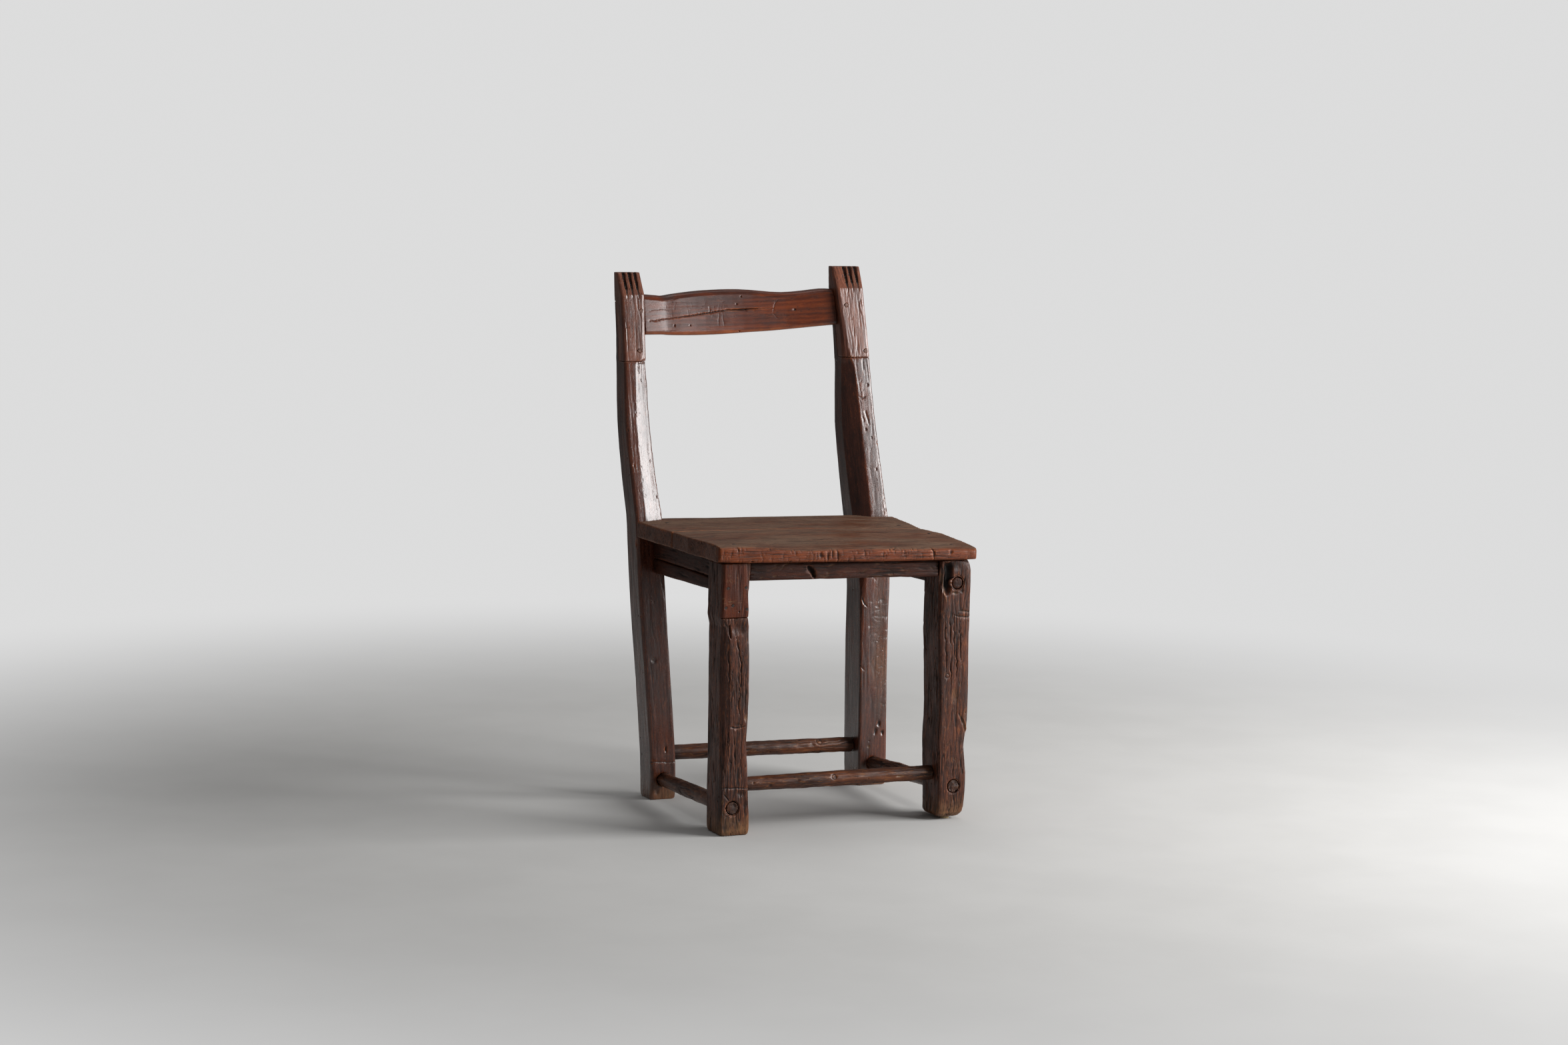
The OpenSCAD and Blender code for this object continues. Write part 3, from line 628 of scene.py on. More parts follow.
def wood_figure_group() -> bpy.types.NodeTree:
    """Builds the group that draws growth rings, streaks, blotches, lighter orange spots of painted
    glint, pores and cracks.

    Returns:
        The group, with outputs for the figure, blotches, the painted glint spots, pores, cracks
        and height.
    """
    group, g, given = new_group(
        "wood_figure",
        {"Grain": ("vector", 0), "Ring Width": ("value", 0.006), "Rings": ("value", 0.5),
         "Pore Share": ("value", 0.5), "Crack Share": ("value", 0.5), "Shorten": ("value", 1)},
        {"Figure": "value", "Blotch": "value", "Glint Spots": "value", "Pores": "value",
         "Cracks": "value", "Height": "value"})
    scale = g.add("ShaderNodeCombineXYZ", {0: given.outputs["Shorten"], 1: 1.0, 2: 1.0})
    grain = g.add("ShaderNodeVectorMath", {0: given.outputs["Grain"], 1: scale.outputs[0]},
                  operation="MULTIPLY").outputs[0]
    parts = g.add("ShaderNodeSeparateXYZ", {0: grain})
    bend = g.noise(grain, (3.5, 14, 14), 2.0)
    depth = g.math("ADD", parts.outputs[1], g.math("MULTIPLY", parts.outputs[2], 0.6))
    depth = g.math("ADD", depth, g.math("MULTIPLY", bend, 0.05))
    rings = g.math("SINE", g.math("MULTIPLY", g.math("DIVIDE", depth, given.outputs["Ring Width"]),
                                  2 * math.pi))
    rings = g.fit(rings, -0.9, 0.9)
    streaks = g.fit(g.noise(grain, (11, 260, 260), 5.0, 0.65), 0.34, 0.66)
    broad = g.fit(g.noise(grain, (6, 55, 55), 3.0, 0.6, 3.0), 0.32, 0.68)
    mixed = g.math("ADD", g.math("MULTIPLY", streaks, 0.6), g.math("MULTIPLY", broad, 0.4))
    figure = g.add("ShaderNodeMix", {0: given.outputs["Rings"], 2: mixed, 3: rings}).outputs[0]
    blotch = g.fit(g.noise(grain, (13, 34, 34), 5.0, 0.65, 7.0), 0.38, 0.64)
    # Lighter orange spots: painted glints, standing for light caught on ridges.
    glint_flecks = g.fit(g.noise(grain, (70, 330, 330), 4.0, 0.65, 13.0), 0.54, 0.68)
    fine = g.noise(grain, (90, 1150, 1150), 2.0, 0.5, 11.0)
    limit = g.fit(given.outputs["Pore Share"], 0.0, 1.0, 0.75, 0.5)
    pores = g.fit(g.math("SUBTRACT", fine, limit), 0.0, 0.09)
    split = g.noise(grain, (17, 330, 330), 2.0, 0.6, 15.0)
    split = g.fit(g.math("ABSOLUTE", g.math("SUBTRACT", split, 0.5)), 0.004, 0.022, 1.0, 0.0)
    where = g.math("SUBTRACT", g.noise(grain, (16, 60, 60), 3.0, 0.6, 21.0),
                   g.fit(given.outputs["Crack Share"], 0.0, 1.0, 0.68, 0.38))
    cracks = g.math("MULTIPLY", split, g.fit(where, 0.0, 0.08))
    fuzz = g.noise(grain, (220, 900, 900), 4.0, 0.65, 5.0)
    height = g.math("ADD", g.math("MULTIPLY", streaks, 0.22), g.math("MULTIPLY", fuzz, 0.3))
    height = g.math("SUBTRACT", height, g.math("MULTIPLY", pores, 0.18))
    height = g.math("SUBTRACT", height, g.math("MULTIPLY", cracks, 0.8))
    g.add("NodeGroupOutput", {"Figure": figure, "Blotch": blotch, "Glint Spots": glint_flecks,
                              "Pores": pores, "Cracks": cracks, "Height": height})
    return group


def old_surface_group() -> bpy.types.NodeTree:
    """Builds the group that turns a piece's stored masks into uneven rubbing, dirt and dusting,
    and painted highlight, sheen and shade.

    Returns:
        The group, with outputs for rubbing and its painted highlight, dirt and its painted shade,
        dusting and its painted sheen, bare wood, specks and scratches.
    """
    group, g, given = new_group(
        "old_surface", {"Grain": ("vector", 0), "Rub": ("value", 1), "Dusty": ("value", 0)},
        {"Rubbed and Highlit": "value", "Grime and Shade": "value", "Dust and Sheen": "value", "Bare": "value",
         "Specks": "value", "Scratches": "value"})
    grain = given.outputs["Grain"]
    uneven = g.noise(grain, (34, 90, 90), 5.0, 0.7)
    # Rubbing on convex places, which also paints an orange highlight on raised ridges and arrises.
    rubbed_and_highlit = g.math("MULTIPLY", g.named("worn"), g.fit(uneven, 0.34, 0.62, 0.15, 1.0))
    rubbed_and_highlit = g.math("MULTIPLY", rubbed_and_highlit, given.outputs["Rub"])
    # Dirt in hollows, marks and stains; the dark mask also brings the painted shade near joints.
    grime_and_shade = g.math("MAXIMUM", g.math("MULTIPLY", g.named("hollow"), 0.85), g.named("dark"))
    stains = g.fit(g.noise(grain, (150, 260, 260), 4.0, 0.65, 9.0), 0.6, 0.72)
    grime_and_shade = g.math("MAXIMUM", grime_and_shade, g.math("MULTIPLY", stains, 0.6))
    up = g.add("ShaderNodeSeparateXYZ",
               {0: g.add("ShaderNodeNewGeometry").outputs["Normal"]}).outputs[2]
    # Greys the upward faces: a dusty layer that also paints the grey sheen of light on tops such
    # as the seat's.
    dust_and_sheen = g.math("MULTIPLY", g.fit(up, 0.5, 0.97),
                  g.fit(g.noise(grain, (9, 26, 26), 6.0, 0.72, 2.0), 0.34, 0.62, 0.15, 1.0))
    dust_and_sheen = g.math("MULTIPLY", dust_and_sheen, given.outputs["Dusty"])
    bare = g.math("MULTIPLY", g.named("bare"), g.fit(uneven, 0.3, 0.6, 0.35, 1.0))
    specks = g.fit(g.noise(grain, (420, 700, 700), 2.0, 0.5, 19.0), 0.68, 0.74)
    lines = g.noise(grain, (420, 30, 420), 2.0, 0.5, 4.0)
    scratches = g.fit(g.math("ABSOLUTE", g.math("SUBTRACT", lines, 0.5)), 0.0, 0.012, 1.0, 0.0)
    scratches = g.math("MULTIPLY", scratches,
                       g.fit(g.noise(grain, (14, 22, 22), 2.0, 0.5, 6.0), 0.5, 0.66))
    g.add("NodeGroupOutput", {"Rubbed and Highlit": rubbed_and_highlit, "Grime and Shade": grime_and_shade, "Dust and Sheen": dust_and_sheen, "Bare": bare,
                              "Specks": specks, "Scratches": scratches})
    return group


@dataclass(frozen=True)
class WoodFinish:
    """One wood: its colours, figure, gloss and the way it has aged, and the highlight, glint,
    sheen and shade painted into it.
    """

    name: str
    deep: Colour
    light: Colour
    blotch: Colour
    # Tint of the rubbing and scratches, also the painted highlight on ridges and arrises.
    rubbed_and_highlit: Colour
    # Tint of dirt, pores and cracks, also the painted shade near joints.
    grime_and_shade: Colour = field(default_factory=lambda: shade(16, 9, 6))
    # Tint of the dusty layer and specks, also the painted sheen on upward faces.
    dust_and_sheen: Colour = field(default_factory=lambda: shade(150, 128, 108))
    bare: Colour = field(default_factory=lambda: shade(150, 112, 76))
    # Tint of the lighter orange spots, a painted glint.
    glint_colour: Colour = field(default_factory=lambda: shade(150, 92, 52))
    blotch_share: float = 0.7
    # How much of the painted glint shows.
    glint_amount: float = 0.3
    speck_share: float = 0.2
    ring_width: float = 0.007
    rings: float = 0.3
    pore_share: float = 0.5
    crack_share: float = 0.4
    shorten: float = 1.0
    # Strength of the rubbing and of its painted highlight.
    rub: float = 0.8
    # Strength of the dusty layer and of its painted sheen.
    dusty: float = 0.0
    gloss: float = 0.36
    dull: float = 0.7
    specular: float = 0.3
    wax: float = 0.0
    bump: float = 0.6

    def material(self, figure: bpy.types.NodeTree,
                 surface: bpy.types.NodeTree) -> bpy.types.Material:
        """Builds the finish.

        Args:
            figure: The group that draws the wood's figure.
            surface: The group that ages it.

        Returns:
            The material.
        """
        material = bpy.data.materials.new(self.name)
        material.use_nodes = True
        g = Graph(material.node_tree)
        grain = g.named("grain", "Vector")
        wood = g.add("ShaderNodeGroup", node_tree=figure)
        aged = g.add("ShaderNodeGroup", node_tree=surface)
        for node in (wood, aged):
            g.tree.links.new(grain, node.inputs["Grain"])
        for node, socket, value in ((wood, "Ring Width", self.ring_width),
                                    (wood, "Rings", self.rings),
                                    (wood, "Pore Share", self.pore_share),
                                    (wood, "Crack Share", self.crack_share),
                                    (wood, "Shorten", self.shorten),
                                    (aged, "Rub", self.rub), (aged, "Dusty", self.dusty)):
            node.inputs[socket].default_value = value
        colour = g.mix(wood.outputs["Figure"], self.deep, self.light)
        # Tints laid over the figure; the glint, rubbing, dusting and dirt layers also paint
        # glints, highlight, sheen and shade.
        for mask, share, tint in ((wood.outputs["Blotch"], self.blotch_share, self.blotch),
                                  (wood.outputs["Glint Spots"], self.glint_amount, self.glint_colour),
                                  (aged.outputs["Bare"], 1.0, self.bare),
                                  (aged.outputs["Dust and Sheen"], 1.0, self.dust_and_sheen),
                                  (aged.outputs["Rubbed and Highlit"], 1.0, self.rubbed_and_highlit),
                                  (aged.outputs["Specks"], self.speck_share, self.dust_and_sheen),
                                  (aged.outputs["Scratches"], 0.35, self.rubbed_and_highlit),
                                  (wood.outputs["Pores"], 0.75, self.grime_and_shade),
                                  (wood.outputs["Cracks"], 0.85, self.grime_and_shade),
                                  (aged.outputs["Grime and Shade"], 1.0, self.grime_and_shade)):
            colour = g.mix(g.math("MULTIPLY", mask, share), colour, tint)
        dull = g.math("MAXIMUM", aged.outputs["Grime and Shade"], aged.outputs["Dust and Sheen"])
        dull = g.math("MAXIMUM", dull, g.math("MULTIPLY", wood.outputs["Blotch"], 0.4))
        dull = g.math("MAXIMUM", dull, wood.outputs["Cracks"])
        rough = g.fit(dull, 0.0, 1.0, self.gloss, self.dull)
        bump = g.add("ShaderNodeBump", {"Strength": self.bump, "Distance": 0.001,
                                        "Height": wood.outputs["Height"]})
        shader = g.add("ShaderNodeBsdfPrincipled",
                       {"Base Color": colour, "Roughness": rough, "Normal": bump.outputs[0],
                        "Specular IOR Level": self.specular, "Coat Weight": self.wax,
                        "Coat Roughness": 0.25})
        g.add("ShaderNodeOutputMaterial", {"Surface": shader.outputs[0]})
        return material


class Finishes:
    """Every finish of the chair, built once."""

    def __init__(self) -> None:
        """Builds the two wood groups and each material."""
        figure, surface = wood_figure_group(), old_surface_group()
        woods = {
            "leg": WoodFinish("hewn_leg_wood", shade(58, 28, 18), shade(106, 58, 38),
                              shade(34, 17, 12), shade(150, 90, 60), glint_colour=shade(170, 98, 50),
                              glint_amount=0.3, pore_share=0.7, crack_share=0.5, bump=0.8,
                              gloss=0.36),
            "post": WoodFinish("post_wood", shade(60, 27, 17), shade(96, 49, 32),
                               shade(38, 17, 11), shade(172, 92, 44), glint_colour=shade(146, 78, 40),
                               glint_amount=0.25, crack_share=0.2, gloss=0.26, dull=0.55,
                               wax=0.4, specular=0.45, bump=0.3),
            "top": WoodFinish("post_top_wood", shade(84, 44, 31), shade(134, 82, 62),
                              shade(70, 37, 27), shade(178, 116, 80), glint_colour=shade(164, 98, 62),
                              glint_amount=0.2, crack_share=0.3, gloss=0.28, wax=0.3, dull=0.55,
                              specular=0.4, bump=0.4),
            "crest": WoodFinish("crest_wood", shade(66, 25, 11), shade(112, 50, 21),
                                shade(40, 16, 9), shade(178, 92, 38), glint_colour=shade(150, 72, 32),
                                glint_amount=0.2, crack_share=0.1, pore_share=0.25, rings=0.4,
                                shorten=0.6, bare=shade(176, 94, 40),
                                gloss=0.28, wax=0.22, dull=0.5, specular=0.26, bump=0.22),
            # The seat's dusty tint also paints the grey sheen on its top.
            "seat": WoodFinish("seat_wood", shade(74, 36, 19), shade(116, 64, 36),
                               shade(50, 25, 15), shade(168, 98, 54), glint_colour=shade(150, 88, 46),
                               dusty=0.8, dust_and_sheen=shade(112, 88, 70), gloss=0.36, speck_share=0.9,
                               blotch_share=0.5, pore_share=0.7, crack_share=0.45, bump=0.8,
                               shorten=0.45, specular=0.24, bare=shade(128, 54, 12)),
            "rail": WoodFinish("rail_wood", shade(42, 18, 10), shade(72, 34, 19),
                               shade(30, 15, 11), shade(112, 62, 38), glint_colour=shade(108, 56, 32),
                               gloss=0.45, specular=0.18, crack_share=0.5),
            "stretcher": WoodFinish("stretcher_wood", shade(58, 29, 18), shade(112, 64, 38),
                                    shade(38, 20, 14), shade(152, 94, 56),
                                    glint_colour=shade(168, 108, 56), glint_amount=0.35,
                                    crack_share=0.4, gloss=0.34, bump=0.7),
            "patch": WoodFinish("patch_wood", shade(64, 26, 12), shade(98, 44, 21),
                                shade(62, 28, 17), shade(150, 86, 52), glint_colour=shade(132, 70, 38),
                                crack_share=0.3, gloss=0.36, specular=0.24, bump=0.5),
        }
        self.wood = {key: finish.material(figure, surface) for key, finish in woods.items()}
        self.peg = self.plain("peg_end_grain", shade(70, 42, 32), shade(120, 80, 62), 0.45, 0.0)
        self.iron = self.plain("nail_iron", shade(22, 15, 12), shade(52, 33, 25), 0.6, 0.2)
        self.glide = self.plain("glide_wood", shade(150, 124, 88), shade(196, 172, 132), 0.6, 0.0)

    def plain(self, name: str, dark: Colour, light: Colour, rough: float,
              metal: float) -> bpy.types.Material:
        """Builds a finish for a small part, mottled and lightly pitted.

        Args:
            name: The material's name.
            dark: Its darker colour.
            light: Its lighter colour.
            rough: Its roughness.
            metal: How metallic it is.

        Returns:
            The material.
        """
        material = bpy.data.materials.new(name)
        material.use_nodes = True
        g = Graph(material.node_tree)
        place = g.add("ShaderNodeTexCoord").outputs["Object"]
        mottle = g.noise(place, (700, 700, 700), 4.0, 0.6)
        colour = g.mix(g.fit(mottle, 0.35, 0.65), dark, light)
        roughness = g.fit(mottle, 0.3, 0.7, rough + 0.15, rough)
        bump = g.add("ShaderNodeBump", {"Strength": 0.5, "Distance": 0.0004, "Height": mottle})
        shader = g.add("ShaderNodeBsdfPrincipled",
                       {"Base Color": colour, "Roughness": roughness, "Metallic": metal,
                        "Normal": bump.outputs[0]})
        g.add("ShaderNodeOutputMaterial", {"Surface": shader.outputs[0]})
        return material


# ---- The chair's sub-assemblies ---------------------------------------------------------------


@dataclass
class FrontLegs:
    """The two hewn front legs and the patch let into the left one."""

    finishes: Finishes
    cell: float = 1.05
    kept: float = 0.52
    wear: Wear = Wear(hew=1.1, hew_length=50, hew_width=18, raised_grain=0.45, grain_width=2.6,
                      grain_length=42, checks=0.75, check_width=5.0, arris=1.5, nicks=1.9,
                      nick_length=12, pits=36, foot=0.8)

    def left_marks(self) -> tuple[Mark, ...]:
        """Returns what is cut and worn on the left leg."""
        front = Side.FRONT
        return (
            Line(front, 5.0, 1.0, points=((-189.5, 307), (-188.5, 297), (-186.5, 287)), width=5.0),
            Hollow(front, 2.4, 0.25, centre=(-175, 300), radii=(17, 14)),
            Hollow(front, -2.0, 0.0, centre=(-199, 302), radii=(6, 13)),
            Line(front, 2.2, 1.0, width=2.2, wander=1.6,
                 points=((-179, 301), (-175, 274), (-169, 250), (-170, 220), (-172, 190),
                         (-169, 162))),
            Line(front, 1.8, 0.9, points=((-190, 272), (-188, 222)), width=1.9, wander=1.5),
            Line(front, 1.6, 0.9, points=((-183, 246), (-185, 184)), width=1.8, wander=1.5),
            Line(front, 1.6, 0.8, points=((-163, 236), (-162, 190)), width=1.8, wander=1.5),
            Line(front, 1.8, 0.9, points=((-178, 148), (-176, 92)), width=2.0, wander=1.6),
            Line(front, 1.6, 0.8, points=((-168, 138), (-166, 84)), width=1.8, wander=1.5),
            Line(front, 1.6, 0.8, points=((-188, 152), (-186, 98)), width=1.8, wander=1.5),
            Line(front, 2.4, 1.0, points=((-186, 159), (-175, 157), (-161, 159.5)), width=2.6),
            Hollow(front, 0.9, 0.6, centre=(-173, 161), radii=(7, 5)),
            Hollow(front, 1.3, 0.0, 0.6, centre=(-160, 171), radii=(4, 8)),
            Hollow(front, 0.9, 0.3, centre=(-158, 282), radii=(4, 4)),
            Line(front, 1.6, 0.9, points=((-203, 72), (-180, 70), (-150, 68.5)), width=2.4),
            Ring(front, 1.6, 1.0, centre=(-178.6, 40.5), radius=9.7, width=3.0),
            Hollow(front, 2.0, 0.6, centre=(-166, 61), radii=(9, 7)),
            Hollow(front, 1.8, 0.6, centre=(-158.5, 45), radii=(5, 11)),
            Hollow(front, 1.6, 0.1, 0.9, centre=(-195, 51), radii=(3.5, 5)),
            Hollow(front, 1.6, 0.1, 0.9, centre=(-192.5, 35), radii=(2.5, 5)),
            Line(front, 1.8, 1.0, points=((-192, 62), (-184, 52)), width=2.2),
            Line(front, 1.5, 1.0, points=((-190, 28), (-183, 32)), width=2.0),
            Hollow(front, 0.8, 0.5, centre=(-180, 44), radii=(5, 3)),
        )

    def right_marks(self) -> tuple[Mark, ...]:
        """Returns what is cut and worn on the right leg."""
        front = Side.FRONT
        deep = (((156, 308), (159.5, 250)), ((164.5, 303), (167.5, 262)),
                ((171, 308), (175.5, 236)), ((181.5, 291), (185, 236)), ((160, 264), (161.5, 222)),
                ((177, 264), (179, 214)), ((168, 252), (170, 202)))
        return (
            *(Line(front, 2.1, 1.0, points=ends, width=2.3, wander=1.5) for ends in deep),
            Ring(front, 2.0, 1.0, centre=(175.5, 354.5), radius=9.6, width=4.2),
            Hollow(front, 8.0, 1.0, centre=(158, 364), radii=(11.5, 30), rough=0.15, flat=0.45),
            Hollow(front, 2.5, 0.9, centre=(167, 380), radii=(17, 11)),
            Line(front, -0.8, 0.0, 0.7, points=((146, 376), (152, 350), (158, 326)), width=4.0),
            Hollow(front, 1.8, 0.2, 0.8, centre=(172, 340), radii=(6, 3.5)),
            Hollow(front, 1.2, 0.8, centre=(183, 342), radii=(5, 4)),
            Line(front, 2.0, 0.3, 0.5, points=((178, 312), (190, 312.5), (199, 309.7)), width=2.6),
            Line(front, 2.0, 0.4, 0.3, points=((170, 306.4), (184, 304), (199, 303)), width=2.6),
            Ring(front, 0.9, 0.7, centre=(163.3, 216.7), radius=3.2, width=1.8),
            Line(front, 1.9, 0.2, 0.3, width=5.5,
                 points=((184, 160), (191, 148), (195, 138), (198, 126))),
            Line(front, -0.9, 0.0, 0.5, points=((192, 152), (197, 142), (200, 130)), width=3.0),
            Hollow(front, 1.3, 0.1, 0.4, centre=(177, 186), radii=(8, 16)),
            Ring(front, 1.6, 1.0, centre=(179.3, 50.5), radius=9.8, width=2.8),
            Line(front, 2.0, 1.0, points=((179.7, 40), (180.3, 27)), width=2.2),
            Line(front, 1.6, 1.0, points=((178, 84), (176, 62)), width=2.0),
            Scuffs(front, 0.7, 0.0, 0.4, low=(160, 80), high=(198, 240), count=26, length=9,
                   width=2.2, angle=70, spread=30, seed=4),
        )

    def build(self) -> None:
        """Builds both legs and the patch."""
        wood = self.finishes.wood
        carve_alike((("front_leg_left", 11, self.left_marks()),
                     ("front_leg_right", 12, self.right_marks())),
                    "hewn_leg_wood", wood["leg"], Grain.UP, self.cell, self.wear, self.kept)
        scuffs = (Scuffs(Side.FRONT, 0.4, 0.0, 0.8, low=(-200, 336), high=(-172, 345), count=7,
                         length=9, width=1.3, angle=5, spread=12, seed=3),
                  Scuffs(Side.FRONT, 0.4, 0.0, 0.6, low=(-198, 366), high=(-178, 378), count=9,
                         length=6, width=1.2, angle=60, spread=50, seed=8))
        CarvedPiece("leg_patch", "hewn_leg_wood", wood["patch"], Grain.UP, 0.9,
                    Wear(hew=0.5, hew_length=30, hew_width=10, raised_grain=0.25, checks=0.4,
                         arris=0.8, nicks=0.8, pits=4), 13, scuffs).build()


@dataclass
class BackPosts:
    """The two raked rear posts with their spliced and carved tops."""

    finishes: Finishes
    cell: float = 1.3
    kept: float = 0.42
    top_cell: float = 0.9
    top_kept: float = 0.6
    wear: Wear = Wear(hew=0.7, hew_length=80, hew_width=20, raised_grain=0.25, grain_width=3.0,
                      grain_length=70, checks=0.22, arris=1.0, nicks=1.3, pits=34, pit_depth=1.5,
                      foot=0.6)
    top_wear: Wear = Wear(hew=0.35, hew_length=60, hew_width=16, raised_grain=0.3,
                          grain_width=2.4, grain_length=55, checks=0.3, check_width=4.5,
                          arris=0.35, nicks=0.6, pits=3, end_chips=0.3)

    def left_marks(self) -> tuple[Mark, ...]:
        """Returns what is cut and worn on the left post."""
        front = Side.FRONT
        return (
            Line(front, 1.2, 0.9, points=((-195, 660), (-193, 650), (-192, 638)), width=1.6),
            Hollow(front, 0.8, 0.7, centre=(-189, 629), radii=(2.5, 3)),
            Scuffs(front, 0.15, 0.5, low=(-200, 540), high=(-176, 630), count=20, length=15,
                   width=1.1, angle=0, spread=9, seed=5),
            Scuffs(front, 0.7, 0.5, low=(-206, 450), high=(-193, 600), count=20, length=5,
                   width=2.0, angle=80, spread=25, seed=6),
            Hollow(front, 1.8, 0.9, centre=(-161, 492), radii=(1.6, 2.6)),
            Hollow(front, 1.6, 0.8, centre=(-173, 455), radii=(1.6, 1.6)),
            Hollow(front, 0.9, 0.5, centre=(-187, 212), radii=(8, 6), rough=0.5),
            Hollow(front, 4.0, 1.0, centre=(-166.5, 76.5), radii=(2.2, 5.5), rough=0.1),
            Line(front, 0.9, 0.8, points=((-200, 58), (-140, 56)), width=1.6, blunt=True),
            Hollow(front, 1.2, 0.5, centre=(-181, 13), radii=(5, 8)),
            Hollow(Side.LEFT, 4.0, 1.0, centre=(96, 388), radii=(2.5, 8), rough=0.1),
        )

    def right_marks(self) -> tuple[Mark, ...]:
        """Returns what is cut and worn on the right post."""
        front = Side.FRONT
        return (
            Hollow(front, 0.5, 0.1, 0.2, centre=(194, 216), radii=(19, 118), rough=0.7),
            Scuffs(front, 0.5, 0.6, 0.2, low=(184, 150), high=(206, 290), count=40, length=15,
                   width=2.2, angle=8, spread=24, seed=7),
            Scuffs(front, 0.5, 0.6, 0.2, low=(176, 190), high=(198, 325), count=28, length=13,
                   width=2.2, angle=10, spread=40, seed=8),
            Scuffs(front, 0.45, 0.55, 0.2, low=(188, 100), high=(210, 215), count=24, length=11,
                   width=2.0, angle=14, spread=40, seed=27),
            Line(front, 2.0, 0.9, points=((163, 294), (166, 284), (171, 279)), width=3.0),
            Line(front, 1.2, 0.9, points=((158, 190), (163, 184), (168, 180)), width=2.0),
            Hollow(front, 2.2, 0.9, centre=(192, 96), radii=(4, 7)),
            Hollow(front, 2.2, 0.9, centre=(198, 82), radii=(4, 6)),
            Hollow(front, 1.6, 0.7, centre=(186, 84), radii=(4, 8)),
            Hollow(front, 0.8, 0.0, 0.9, centre=(175, 61), radii=(3, 3)),
            Line(front, 1.0, 0.8, points=((171, 602), (177, 598), (183, 601)), width=2.4),
            Line(front, 1.2, 0.9, points=((180, 580), (184, 569), (187, 557)), width=2.4),
            Line(front, 1.0, 0.8, points=((176, 571), (178, 561)), width=1.8),
            Line(front, 1.0, 0.8, points=((182, 661), (183, 640)), width=1.4),
            Hollow(front, 1.6, 0.8, centre=(199, 530), radii=(2.6, 2.0)),
            Hollow(front, 1.6, 0.8, centre=(206, 474), radii=(2.6, 2.6)),
            Hollow(front, 1.4, 0.7, centre=(188, 619), radii=(2.6, 3.5)),
            Hollow(front, 1.4, 0.7, centre=(180, 551), radii=(3, 3)),
            Hollow(front, 1.2, 0.7, centre=(193, 490), radii=(2, 3)),
            Scuffs(front, 0.7, 0.2, 0.3, low=(200, 424), high=(214, 456), count=12, length=22,
                   width=1.5, angle=80, spread=8, seed=9),
            Scuffs(front, 0.5, 0.6, low=(168, 470), high=(204, 650), count=44, length=4,
                   width=1.5, angle=110, spread=35, seed=10),
        )

    def grooves(self, middles: tuple[float, ...], foot: float) -> tuple[Mark, ...]:
        """Returns the carved grooves of one top, deepened, darkened and pointed at the foot."""
        wide = (Line(Side.FRONT, 1.6, 0.9, points=((x, foot + 7), (x, foot + 60)), width=4.6,
                     wander=0.5, blunt=True) for x in middles)
        narrow = (Line(Side.FRONT, 1.2, 0.9, points=((x, foot - 8), (x, foot + 22)), width=3.4,
                       wander=0.5) for x in middles)
        return (*wide, *narrow)

    def build(self) -> None:
        """Builds both posts and their tops."""
        wood = self.finishes.wood
        carve_alike((("rear_post_left", 21, self.left_marks()),
                     ("rear_post_right", 22, self.right_marks())),
                    "post_wood", wood["post"], Grain.UP, self.cell, self.wear, self.kept)
        left = self.grooves((-206.3, -197.0, -187.8), 758) + (
            Line(Side.FRONT, 0.7, 0.8, points=((-213, 708), (-204, 706)), width=1.4),
            Line(Side.FRONT, 0.9, 0.9, points=((-210, 720), (-209, 670)), width=1.2))
        right = self.grooves((164.8, 174.0, 183.3), 769)
        carve_alike((("post_top_left", 23, left), ("post_top_right", 24, right)),
                    "post_top_wood", wood["top"], Grain.UP, self.top_cell, self.top_wear,
                    self.top_kept)


